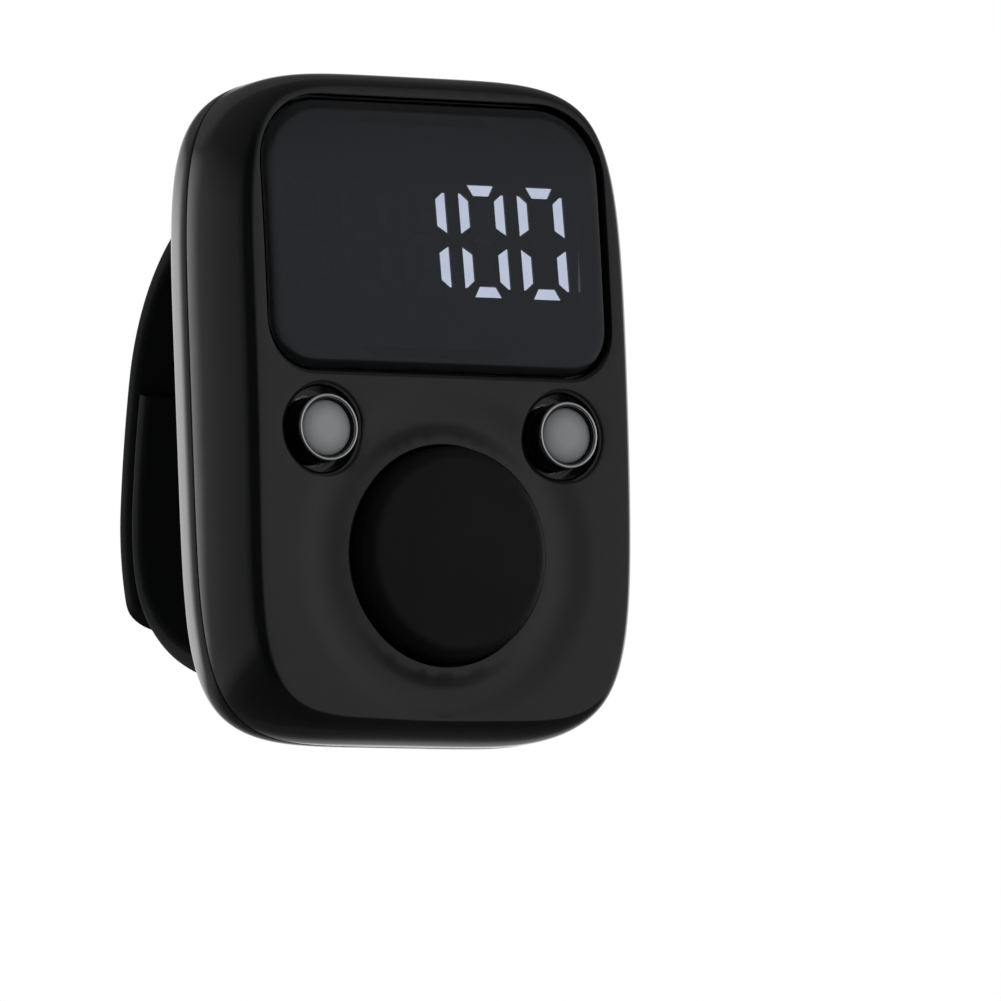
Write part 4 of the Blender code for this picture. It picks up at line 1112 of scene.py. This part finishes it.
@dataclass(frozen=True)
class Display:
    """Window and the digits behind it."""

    layout: Layout
    groove: float = 0.12
    bevel: Flat = (0.8, 0.45)
    pitch: float = 3.87
    digit_height: float = 5.74
    digit_width: float = 2.34
    slant: float = -0.05
    bar_shift: float = 0.1
    upright: tuple[float, float, float, float, float] = (0.38, 2.66, 0.32, 0.4, 0.14)
    crossbar: tuple[float, float, float, float] = (0.865, 0.285, 0.34, 0.12)
    colon: Flat = (1.33, 0.3)
    colon_digit: int = 2
    plate_depths: Flat = (-5.3, -4.9)
    plate_half: Flat = (1.835, 3.555)
    bar_front_y: float = -7.3
    steps: int = 8

    def build(self) -> None:
        """Builds the window and the five digits."""
        seat(self.window(), Body.HOUSING, Slot.WINDOW, "display_window")
        for index, lit in enumerate(("", "", "bc", "abcdef", "abcdef")):
            name = "digit_" + str(index + 1)
            seat(self.digit(index, lit), Body.HOUSING, Slot.SEGMENTS, name)

    def window(self) -> bpy.types.Object:
        """Clear window with a rounded front edge.

        Returns:
            The piece.
        """
        at = self.layout
        skin = Skin()
        rings = []
        for step in range(self.steps + 1):
            angle = math.pi / 2 * step / self.steps
            inset = self.groove + self.bevel[0] * (1 - math.sin(angle))
            sunk = self.bevel[1] * (1 - math.cos(angle))
            rings.append(skin.ring((x, at.face(z) + sunk, z) for x, z in at.window(inset)))
        rings.append(skin.ring((x, at.face(z) + at.lens, z) for x, z in at.window(self.groove)))
        skin.stack(rings)
        skin.plate(rings[0], [])
        skin.plate(rings[-1], [])
        return skin.piece("smoked_window", [WINDOW_ACRYLIC])

    def bars(self, index: int) -> dict[str, list[Flat]]:
        """Outlines of a digit's bars, by the usual letters, and of the colon.

        Args:
            index: place from the left, from 0.

        Returns:
            Outlines round the digit's middle.
        """
        half_w, top = self.digit_width / 2, self.digit_height / 2
        along, across, bevel, middle = self.crossbar
        short, tip = along - bevel, along - middle
        low, high, half_thick, cut, flat = self.upright
        near, far = half_w - half_thick, half_w + half_thick
        upright = [(near, low + cut), (far, low), (far, high), (far - flat, high), (near, high - cut)]
        found = {
            "g": [(-tip, 0), (across - tip, -across), (tip - across, -across),
                  (tip, 0), (tip - across, across), (across - tip, across)],
            "a": [(-short, top - across), (short, top - across),
                  (along, top + across), (-along, top + across)],
            "d": [(-along, -top - across), (along, -top - across),
                  (short, across - top), (-short, across - top)],
            "b": upright,
            "e": [(-x, -z) for x, z in upright],
            "f": [(-x, z) for x, z in reversed(upright)],
            "c": [(x, -z) for x, z in reversed(upright)],
        }
        if index == self.colon_digit:
            reach, radius = self.colon
            found["upper dot"] = circle(0, reach, radius, 24)
            found["lower dot"] = circle(0, -reach, radius, 24)
        return {letter: [(x + self.bar_shift + self.slant * z, z) for x, z in loop]
                for letter, loop in found.items()}

    def digit(self, index: int, lit: str) -> bpy.types.Object:
        """Light guide of one digit: a plate and seven bars.

        Args:
            index: place from the left, from 0.
            lit: letters of the bars that are lit.

        Returns:
            The piece.
        """
        at = self.layout
        x0 = (index - 2) * self.pitch
        skin = Skin()
        front_y, rear_y = self.plate_depths
        half_w, half_h = self.plate_half
        loop = [(-half_w, -half_h), (half_w, -half_h), (half_w, half_h), (-half_w, half_h)]
        rear = skin.ring((x0 + x, rear_y, at.window_z + z) for x, z in loop)
        front = skin.ring((x0 + x, front_y, at.window_z + z) for x, z in loop)
        skin.cap(rear)
        skin.bridge(rear, front)
        feet = []
        for letter, outline in self.bars(index).items():
            slot = int(letter in lit)
            foot = skin.ring((x0 + x, front_y, at.window_z + z) for x, z in outline)
            head = skin.ring((x0 + x, self.bar_front_y, at.window_z + z) for x, z in outline)
            skin.bridge(foot, head, slot)
            skin.cap(head, slot)
            feet.append(foot)
        skin.plate(front, feet)
        return skin.piece("digit_guide_" + str(index + 1), [DARK_GUIDE, LIT_GUIDE], 20.0)


@dataclass(frozen=True)
class Buttons:
    """Count button and the two small buttons."""

    layout: Layout
    count_proud: float = 1.45
    count_shoulder: float = 0.9
    flange: float = 0.6
    pusher_radius: float = 1.5
    ring_wall: float = 0.3
    ring_proud: float = 0.56
    cap_proud: float = 0.45
    cap_crown: float = 0.25
    bead: float = 0.1
    steps: int = 10

    def build(self) -> None:
        """Builds the three buttons."""
        seat(self.count(), Body.COUNT, Slot.BUTTON, "count_button")
        for side, sign, body in (("left", -1, Body.LEFT), ("right", 1, Body.RIGHT)):
            seat(self.ring(side, sign), body, Slot.RIM, side + "_button_ring")
            seat(self.cap(side, sign), body, Slot.CAP, side + "_button_cap")

    def turned(self, name: str, x0: float, z0: float, profile: Sequence[tuple[float, float, bool]],
               finish: Finish, segments: int, closed: bool,
               painted_shade_finish: Finish | None = None) -> bpy.types.Object:
        """Piece turned round an axis along Y that leans with the face in front.

        Args:
            name: name of the piece.
            x0: axis along X.
            z0: axis along Z.
            profile: (radius, depth, leaning) points; a leaning depth is behind the plane
                that touches the face at the axis.
            finish: its finish.
            segments: points in each ring.
            closed: True if the profile comes back to its start.
            painted_shade_finish: finish of the first two bands, if it differs; used to paint them as shade.

        Returns:
            The piece.
        """
        at = self.layout
        skin = Skin()
        rings = []
        for radius, depth, leaning in profile:
            rings.append(skin.ring(
                (x, (at.tangent(z0, z) if leaning else 0.0) + depth, z)
                for x, z in circle(x0, z0, radius, segments)
            ))
        if painted_shade_finish:
            skin.stack(rings[:3], 1)
            skin.stack(rings[2:])
        else:
            skin.stack(rings)
        if closed:
            skin.bridge(rings[-1], rings[0])
        else:
            skin.cap(rings[0])
            skin.cap(rings[-1])
        return skin.piece(name, [finish, painted_shade_finish] if painted_shade_finish else [finish])

    def count(self) -> bpy.types.Object:
        """Large round button with a soft shoulder.

        Returns:
            The piece.
        """
        at = self.layout
        profile = []
        for step in range(self.steps + 1):
            angle = math.pi / 2 * step / self.steps
            radius = at.count_radius - self.count_shoulder * (1 - math.sin(angle))
            profile.append((radius, self.count_shoulder * (1 - math.cos(angle)) - self.count_proud, True))
        flange = at.count_radius + self.flange
        for radius, y in ((at.count_radius, at.flange_front_y), (flange, at.flange_front_y),
                          (flange, at.flange_rear_y), (self.pusher_radius, at.flange_rear_y),
                          (self.pusher_radius, at.pusher_rear_y)):
            profile.append((radius, y, False))
        return self.turned("count_button_moulding", 0.0, at.count_z, profile, KEY_SILICONE, 128, False)

    def ring(self, side: str, sign: int) -> bpy.types.Object:
        """Bright rim of a small button, with its inner wall in dark plastic as painted shade.

        Args:
            side: name of the side.
            sign: -1 for left, 1 for right.

        Returns:
            The piece.
        """
        at = self.layout
        outer, inner = at.ring_radius, at.ring_radius - self.ring_wall
        profile = [(inner, -self.cap_proud + self.cap_crown, True),
                   (inner, self.bead - self.cap_proud, True)]
        for step in range(self.steps + 1):
            angle = math.pi * step / self.steps
            radius = outer - self.bead - self.bead * math.cos(angle)
            profile.append((radius, -self.ring_proud + self.bead * (1 - math.sin(angle)), True))
        profile += [(outer, at.flange_front_y, False), (outer + self.flange, at.flange_front_y, False),
                    (outer + self.flange, at.flange_rear_y, False), (inner, at.flange_rear_y, False)]
        # The inner wall bands take the dark case plastic in place of the plating: painted shade in the
        # groove.
        return self.turned(side + "_bright_rim", sign * at.small_x, at.small_z, profile,
                           RIM_PLATING, 72, True, CASE_ABS)

    def cap(self, side: str, sign: int) -> bpy.types.Object:
        """Domed grey centre of a small button.

        Args:
            side: name of the side.
            sign: -1 for left, 1 for right.

        Returns:
            The piece.
        """
        at = self.layout
        radius = at.ring_radius - self.ring_wall - at.tight
        profile = []
        for step in range(1, self.steps + 1):
            angle = math.pi / 2 * step / self.steps
            depth = self.cap_crown * (1 - math.cos(angle)) - self.cap_proud
            profile.append((radius * math.sin(angle), depth, True))
        profile.append((radius, at.pusher_rear_y, False))
        return self.turned(side + "_domed_cap", sign * at.small_x, at.small_z, profile,
                           LEFT_CAP if sign < 0 else RIGHT_CAP_PAINTED_DARKER, 72, False)


@dataclass(frozen=True)
class Strap:
    """Two-part finger strap with its stud."""

    layout: Layout
    width: float = 15.0
    thickness: float = 1.2
    edge: float = 0.35
    lead: float = 0.3
    upper_root_z: float = 13.2
    lower_root_z: float = -14.2
    head: tuple[float, float, float] = (3.2, 0.9, 0.4)
    upper_bend: Flat = (13.0, 74.5)
    tail_bends: tuple[Flat, Flat] = ((60.0, 7.0), (14.0, 30.5))
    tip: float = 2.3
    tip_power: float = 3.0
    lap_gap: float = 0.18
    lap_start: float = 0.6
    lap_end: float = 11.2
    root_handle: float = 7.0
    lap_handle: float = 4.0
    hole_radius: float = 1.7
    hole_pitch: float = 4.0
    stud_place: float = 9.8
    blend_reach: float = 1.5
    step: float = 0.35

    def build(self) -> None:
        """Builds the two bands and the stud."""
        seat_upper = self.upper()
        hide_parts("upper_strap", "strap_tail")
        self.bend(seat_upper)
        LOG.info("%s bends between housing and tail", seat_upper.name)
        seat(self.lower(), Body.HOUSING, Slot.STRAP, "lower_strap")
        seat(self.stud(), Body.HOUSING, Slot.STRAP, "strap_stud")

    def bend(self, band: bpy.types.Object) -> None:
        """Bakes the band's place into its mesh."""
        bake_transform(band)

    def outward(self, heading: float) -> Vector:
        """Side away from the finger, as (y, z)."""
        return Vector((-math.sin(heading), math.cos(heading)))

    def arc(self, start: Vector, heading: float, radius: float, turn: float) -> list[tuple[Vector, Vector]]:
        """Stations along an arc that turns downwards, without the first.

        Args:
            start: where it starts, as (y, z).
            heading: direction there, in radians from +Y.
            radius: radius of the arc.
            turn: angle of the arc, in radians.

        Returns:
            Places and outward directions.
        """
        count = max(4, round(radius * turn / self.step))
        middle = start - radius * self.outward(heading)
        found = []
        for step in range(1, count + 1):
            outward = self.outward(heading - turn * step / count)
            found.append((middle + radius * outward, outward))
        return found

    def hinge(self) -> Vector:
        """Where the tail starts to bend away."""
        radius, degrees = self.upper_bend
        start = Vector((self.lead, self.upper_root_z))
        return start - radius * self.outward(0) + radius * self.outward(-math.radians(degrees))

    def tail_route(self) -> list[tuple[Vector, Vector]]:
        """Stations of the tail from the hinge to the tip."""
        heading = -math.radians(self.upper_bend[1])
        route = [(self.hinge(), self.outward(heading))]
        for radius, degrees in self.tail_bends:
            turn = math.radians(degrees)
            route += self.arc(route[-1][0], heading, radius, turn)
            heading -= turn
        return route

    def station(self, route: Sequence[tuple[Vector, Vector]], distance: float) -> tuple[Vector, Vector]:
        """Station at a distance along a route.

        Args:
            route: the stations.
            distance: distance from the first.

        Returns:
            Its place and outward direction.
        """
        walked = 0.0
        for (a, out_a), (b, out_b) in zip(route, route[1:]):
            length = (b - a).length
            if distance <= walked + length or b is route[-1][0]:
                share = (distance - walked) / length
                return a.lerp(b, share), out_a.lerp(out_b, share).normalized()
            walked += length
        return route[-1]

    def section(self, half_width: float, half_thickness: float) -> list[Flat]:
        """Rounded section of the band, as (across, out)."""
        edge = min(self.edge, half_thickness * 0.9, half_width * 0.9)
        return rounded_box(half_width, half_thickness, (edge, edge), 0.0, 5, 2)

    def sweep(self, name: str, stations: Sequence[tuple[Vector, Vector, float, float]]) -> bpy.types.Object:
        """Band along stations.

        Args:
            name: name of the piece.
            stations: (place, outward, half thickness, half width) of each section.

        Returns:
            The piece.
        """
        skin = Skin()
        rings = []
        for place, outward, half_thickness, half_width in stations:
            rings.append(skin.ring(
                (x, place.x + out * outward.x, place.y + out * outward.y)
                for x, out in self.section(half_width, half_thickness)
            ))
        skin.stack(rings)
        skin.cap(rings[0])
        skin.cap(rings[-1])
        return skin.piece(name, [STRAP_TPU])

    def root(self, root_z: float, outward: Vector) -> list[tuple[Vector, Vector, float, float]]:
        """Head inside the cover and the passage through the slot."""
        tall, deep, wider = self.head
        half_thickness, half_width = self.thickness / 2, self.width / 2
        rear_y = -1.4
        plain = (outward, half_thickness, half_width)
        head = (outward, tall / 2, half_width + wider)
        return [
            (Vector((rear_y - deep, root_z)), *head),
            (Vector((rear_y, root_z)), *head),
            (Vector((rear_y, root_z)), *plain),
            (Vector((self.lead, root_z)), *plain),
        ]

    def upper(self) -> bpy.types.Object:
        """Upper band with its free tail, in one piece.

        Returns:
            The piece.
        """
        half_thickness, half_width = self.thickness / 2, self.width / 2
        stations = self.root(self.upper_root_z, self.outward(0))
        radius, degrees = self.upper_bend
        for place, outward in self.arc(stations[-1][0], 0, radius, math.radians(degrees)):
            stations.append((place, outward, half_thickness, half_width))
        route = self.tail_route()
        total = sum((b - a).length for (a, _), (b, _) in zip(route, route[1:]))
        walked = 0.0
        for (a, _), (b, outward) in zip(route, route[1:]):
            walked += (b - a).length
            if walked < total - self.tip:
                stations.append((b, outward, half_thickness, half_width))
        for step in range(17):
            share = math.sin(math.radians(88) * step / 16)
            place, outward = self.station(route, total - self.tip + share * self.tip)
            narrowed = (1 - share ** self.tip_power) ** (1 / self.tip_power)
            stations.append((place, outward, half_thickness, half_width * narrowed))
        band = self.sweep("upper_strap_with_tail", stations)
        tools = []
        for index in range(3):
            place, outward = self.station(route, self.stud_place - index * self.hole_pitch)
            tools.append(self.plug(place, outward, self.hole_radius))
        carve(band, tools)
        return band

    def plug(self, place: Vector, outward: Vector, radius: float) -> bpy.types.Object:
        """Round tool through the strap at a station."""
        return prism(circle(0, 0, radius, 48), lambda a, b, depth: self.around(place, outward, a, b, depth),
                     -2 * self.thickness, 2 * self.thickness)

    def around(self, place: Vector, outward: Vector, across: float, along: float, out: float) -> Point:
        """Place of a point given in the strap's own directions."""
        y = place.x + outward.x * out + outward.y * along
        z = place.y + outward.y * out - outward.x * along
        return across, y, z

    def lap(self, distance: float) -> tuple[Vector, Vector]:
        """Station of the lower band under the tail."""
        place, outward = self.station(self.tail_route(), distance)
        return place - (self.thickness + self.lap_gap) * outward, outward

    def lower(self) -> bpy.types.Object:
        """Lower band, up to its end under the tail.

        Returns:
            The piece.
        """
        half_thickness, half_width = self.thickness / 2, self.width / 2
        stations = self.root(self.lower_root_z, -self.outward(0))
        root = stations[-1][0]
        end, end_outward = self.lap(self.lap_end)
        end_along = Vector((-end_outward.y, end_outward.x))
        a, b = root, root + Vector((self.root_handle, 0))
        c, d = end - end_along * self.lap_handle, end
        for step in range(1, 37):
            t = step / 36
            place = a * (1 - t) ** 3 + b * 3 * t * (1 - t) ** 2 + c * 3 * t * t * (1 - t) + d * t ** 3
            way = ((b - a) * (1 - t) ** 2 + (c - b) * 2 * t * (1 - t) + (d - c) * t * t).normalized()
            stations.append((place, Vector((way.y, -way.x)), half_thickness, half_width))
        count = round((self.lap_end - self.lap_start) / self.step)
        for step in range(1, count + 1):
            distance = self.lap_end + (self.lap_start - self.lap_end) * step / count
            stations.append((*self.lap(distance), half_thickness, half_width))
        band = self.sweep("lower_strap_band", stations)
        place, outward = self.lap(self.stud_place)
        carve(band, [self.plug(place, outward, 1.13)])
        return band

    def stud(self) -> bpy.types.Object:
        """Stud with a mushroom head over the tail.

        Returns:
            The piece.
        """
        place, outward = self.lap(self.stud_place)
        low = self.thickness / 2 + self.lap_gap + self.thickness + 0.15
        profile = [(0.5, low + 0.6), (0.95, low + 0.55), (1.2, low + 0.42), (1.3, low + 0.25),
                   (1.3, low + 0.08), (1.22, low), (1.1, low), (1.1, -self.thickness / 2)]
        skin = Skin()
        rings = [
            skin.ring(self.around(place, outward, x, along, out) for x, along in circle(0, 0, radius, 48))
            for radius, out in profile
        ]
        skin.stack(rings)
        skin.cap(rings[0])
        skin.cap(rings[-1])
        return skin.piece("strap_stud_moulding", [STRAP_TPU])


@dataclass(frozen=True)
class ChargingSocket:
    """Drawn metal sleeve of the charging socket."""

    layout: Layout
    half_long: float = 3.75
    half_high: float = 1.225
    wall: float = 0.3
    length: float = 5.0
    recess: float = 0.4

    def build(self) -> None:
        """Builds the sleeve, closed at its inner end."""
        at = self.layout
        mouth = at.width / 2 - self.recess
        levels = ((0.0, mouth - self.length), (0.0, mouth), (self.wall, mouth),
                  (self.wall, mouth - self.length + self.wall))
        skin = Skin()
        rings = []
        for inset, x in levels:
            corner = self.half_high - inset - 0.01
            loop = rounded_box(self.half_high - inset, self.half_long - inset, (corner, corner), 0.0, 10, 2)
            rings.append(skin.ring((x, at.socket_y + a, at.socket_z + b) for a, b in loop))
        skin.stack(rings)
        skin.cap(rings[0])
        skin.cap(rings[-1])
        seat(skin.piece("charging_sleeve", [TIN_STEEL]), Body.HOUSING, Slot.STEEL, "charging_socket")


# Studio


@dataclass(frozen=True)
class Studio:
    """Camera, lamps, room and floor."""

    yaw: float = -31.3795
    elevation: float = -6.5175
    roll: float = -2.2140
    shift_right: float = -3.1623
    shift_up: float = 5.5549
    distance: float = 704.36
    scale: float = 17.8009
    image: float = 1001.0
    sensor: float = 36.0
    face_depth: float = 9.3
    bright_turn: float = 75.0
    floor_z: float = -19.0
    floor_reach: float = 900.0
    backdrop_way: Point = (0.518, 0.848, 0.113)
    dark_way: Point = (-0.819, -0.574, 0.0)
    key_place: Point = (500, 100, 750)
    key_size: float = 700
    key_power: float = 2.5
    diffuse_level: float = 0.75
    floor_top_up: float = 0.25
    # Levels of the room, as (value, level) pairs
    front_levels: tuple[Flat, ...] = ((0.6, 0.26), (0.766, 0.13), (0.866, 0.02))
    right_levels: tuple[Flat, ...] = ((0.2, 0.0), (0.72, 0.23), (1.0, 0.3))
    height_levels: tuple[Flat, ...] = ((-0.55, 0.18), (-0.38, 0.3), (-0.24, 1.0),
                                       (0.22, 1.0), (0.42, 0.35), (0.93, 0.38))
    backdrop_levels: tuple[Flat, ...] = ((0.5, 0.0), (0.55, 0.4), (0.62, 1.4),
                                         (0.68, 2.3), (0.79, 1.84), (0.94, 1.0))
    backdrop_heights: tuple[Flat, ...] = ((-0.2, 0.03), (-0.03, 1.0), (0.15, 1.0), (0.35, 0.1), (0.6, 0.07))

    def build(self) -> None:
        """Builds everything that isn't the object."""
        self.camera()
        self.room()
        self.floor()
        self.softbox("key_softbox", self.key_place, self.key_size, self.key_power)

    def camera(self) -> None:
        """Camera at the photograph's angle and distance."""
        a, e, r = (math.radians(v) for v in (self.yaw, self.elevation, self.roll))
        back = Vector((math.sin(a) * math.cos(e), -math.cos(a) * math.cos(e), math.sin(e)))
        right = Vector((math.cos(a), math.sin(a), 0))
        up = back.cross(right)
        right, up = (math.cos(r) * right + math.sin(r) * up, math.cos(r) * up - math.sin(r) * right)
        place = back * self.distance - right * self.shift_right - up * self.shift_up
        place.y -= self.face_depth
        data = bpy.data.cameras.new("photo_camera")
        data.sensor_width = self.sensor
        data.lens = self.sensor * self.scale * self.distance / self.image
        data.clip_start = 0.05
        data.clip_end = 20
        camera = bpy.data.objects.new("photo_camera", data)
        axes = Matrix((right, up, back)).transposed().to_4x4()
        camera.matrix_world = Matrix.Translation(place * MM) @ axes
        bpy.context.scene.collection.objects.link(camera)
        bpy.context.scene.camera = camera

    def softbox(self, name: str, place: Point, size: float, power: float) -> None:
        """Square area lamp that faces the object.

        Args:
            name: name of the lamp.
            place: its place.
            size: length of its side.
            power: power in watts.
        """
        data = bpy.data.lights.new(name, "AREA")
        data.size = size * MM
        data.energy = power
        lamp = bpy.data.objects.new(name, data)
        lamp.location = Vector(place) * MM
        lamp.rotation_euler = Vector(place).to_track_quat("Z", "Y").to_euler()
        lamp.visible_glossy = False
        bpy.context.scene.collection.objects.link(lamp)

    def room(self) -> None:
        """White behind the object, and a room that darkens from right and back to front left."""
        world = bpy.data.worlds.new("studio_room")
        bpy.context.scene.world = world
        world.use_nodes = True
        tree = world.node_tree
        tree.nodes.clear()
        ray = add_node(tree, "LightPath")
        place = add_node(tree, "TexCoord")
        turn = math.radians(self.bright_turn)
        across = self.facing(tree, place, (math.sin(turn), -math.cos(turn), 0.0))
        behind = self.facing(tree, place, self.backdrop_way)
        height = add_node(tree, "SeparateXYZ", {0: place.outputs["Generated"]}).outputs["Z"]
        dark = self.facing(tree, place, self.dark_way)
        front = self.steps(tree, dark, self.front_levels)
        right = self.steps(tree, across, self.right_levels)
        walls = add_node(tree, "Math", {0: front, 1: right}, operation="ADD").outputs[0]
        levels = self.steps(tree, height, self.height_levels)
        backdrop = self.steps(tree, behind, self.backdrop_levels)
        sides = self.steps(tree, height, self.backdrop_heights)
        walls = add_node(tree, "Math", {0: walls, 1: levels}, operation="MULTIPLY")
        backdrop = add_node(tree, "Math", {0: backdrop, 1: sides}, operation="MULTIPLY")
        room = add_node(tree, "Math", {0: walls.outputs[0], 1: backdrop.outputs[0]}, operation="MAXIMUM")
        clear = add_node(tree, "Math", {
            0: ray.outputs["Is Glossy Ray"], 1: ray.outputs["Is Transmission Ray"],
        }, operation="MAXIMUM")
        shown = add_node(tree, "Mix", {"Factor": clear.outputs[0], 2: self.diffuse_level, 3: room.outputs[0]})
        level = add_node(tree, "Mix", {"Factor": ray.outputs["Is Camera Ray"], 2: shown.outputs[0], 3: 1.0})
        background = add_node(tree, "Background", {"Color": linear("#ffffff"), "Strength": level.outputs[0]})
        add_node(tree, "OutputWorld", {"Surface": background.outputs[0]})

    def facing(self, tree: bpy.types.NodeTree, place: bpy.types.Node, way: Point) -> bpy.types.NodeSocket:
        """How far a direction of the room turns towards a given one, from -1 to 1."""
        inputs = {0: place.outputs["Generated"], 1: way}
        return add_node(tree, "VectorMath", inputs, operation="DOT_PRODUCT").outputs["Value"]

    def steps(self, tree: bpy.types.NodeTree, value: bpy.types.NodeSocket,
              stops: Sequence[Flat]) -> bpy.types.NodeSocket:
        """Level that runs straight from stop to stop.

        Args:
            tree: node tree.
            value: what the level depends on.
            stops: (value, level) pairs, in rising order of value.

        Returns:
            The level.
        """
        level: Any = stops[0][1]
        for (low, low_level), (high, high_level) in zip(stops, stops[1:]):
            part = add_node(tree, "MapRange", {
                "Value": value, "From Min": low, "From Max": high,
                "To Min": 0.0, "To Max": high_level - low_level,
            })
            level = add_node(tree, "Math", {0: level, 1: part.outputs[0]}, operation="ADD").outputs[0]
        return level

    def floor(self) -> None:
        """Plain pale floor that shows only from above."""
        skin = Skin()
        reach = self.floor_reach
        corners = ((-reach, -reach), (reach, -reach), (reach, reach), (-reach, reach))
        skin.cap(skin.ring((x, y, self.floor_z) for x, y in corners))
        floor = skin.piece("pale_floor", [])
        if floor.data.polygons[0].normal.z < 0:
            floor.data.flip_normals()
        floor.data.materials.append(self.floor_finish())

    def floor_finish(self) -> bpy.types.Material:
        """Pale matt floor, topped up to white for the camera, clear from below and to reflections.

        Returns:
            The material.
        """
        made = bpy.data.materials.new("pale_matt_floor")
        made.use_nodes = True
        tree = made.node_tree
        tree.nodes.clear()
        ray = add_node(tree, "LightPath")
        side = add_node(tree, "NewGeometry")
        matt = add_node(tree, "BsdfDiffuse", {"Color": linear("#e6e6e6")})
        top_up = add_node(tree, "Mix", {
            "Factor": ray.outputs["Is Camera Ray"], 2: 0.0, 3: self.floor_top_up,
        })
        glow = add_node(tree, "Emission", {"Strength": top_up.outputs[0]})
        both = add_node(tree, "AddShader", {0: matt.outputs[0], 1: glow.outputs[0]})
        below = add_node(tree, "Math", {0: side.outputs["Backfacing"], 1: ray.outputs["Is Camera Ray"]},
                         operation="MULTIPLY")
        hidden = add_node(tree, "Math", {0: below.outputs[0], 1: ray.outputs["Is Glossy Ray"]},
                          operation="MAXIMUM")
        clear = add_node(tree, "BsdfTransparent")
        mixed = add_node(tree, "MixShader", {0: hidden.outputs[0], 1: both.outputs[0], 2: clear.outputs[0]})
        add_node(tree, "OutputMaterial", {"Surface": mixed.outputs[0]})
        return made


def dress_cad(nodes: dict[str, bpy.types.Object]) -> None:
    """Gives each CAD node that stays in the scene its finish.

    Args:
        nodes: the frame's nodes by name.
    """
    for name, finish in CAD_FINISHES.items():
        mesh = nodes[name].data
        mesh.materials.clear()
        mesh.materials.append(finish.material())
        LOG.info("%s keeps its shape, in %s", name, finish.name)


def main() -> None:
    """Builds the looks round the CAD frame."""
    logging.basicConfig(level=logging.INFO, format="%(message)s")
    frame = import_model()
    layout = Layout()
    dress_cad(frame["nodes"])
    Housing(layout).build()
    Display(layout).build()
    Buttons(layout).build()
    Strap(layout).build()
    ChargingSocket(layout).build()
    Studio().build()
    bpy.context.scene.view_settings.view_transform = "Standard"
    bpy.context.view_layer.update()


if __name__ == "__main__":
    main()
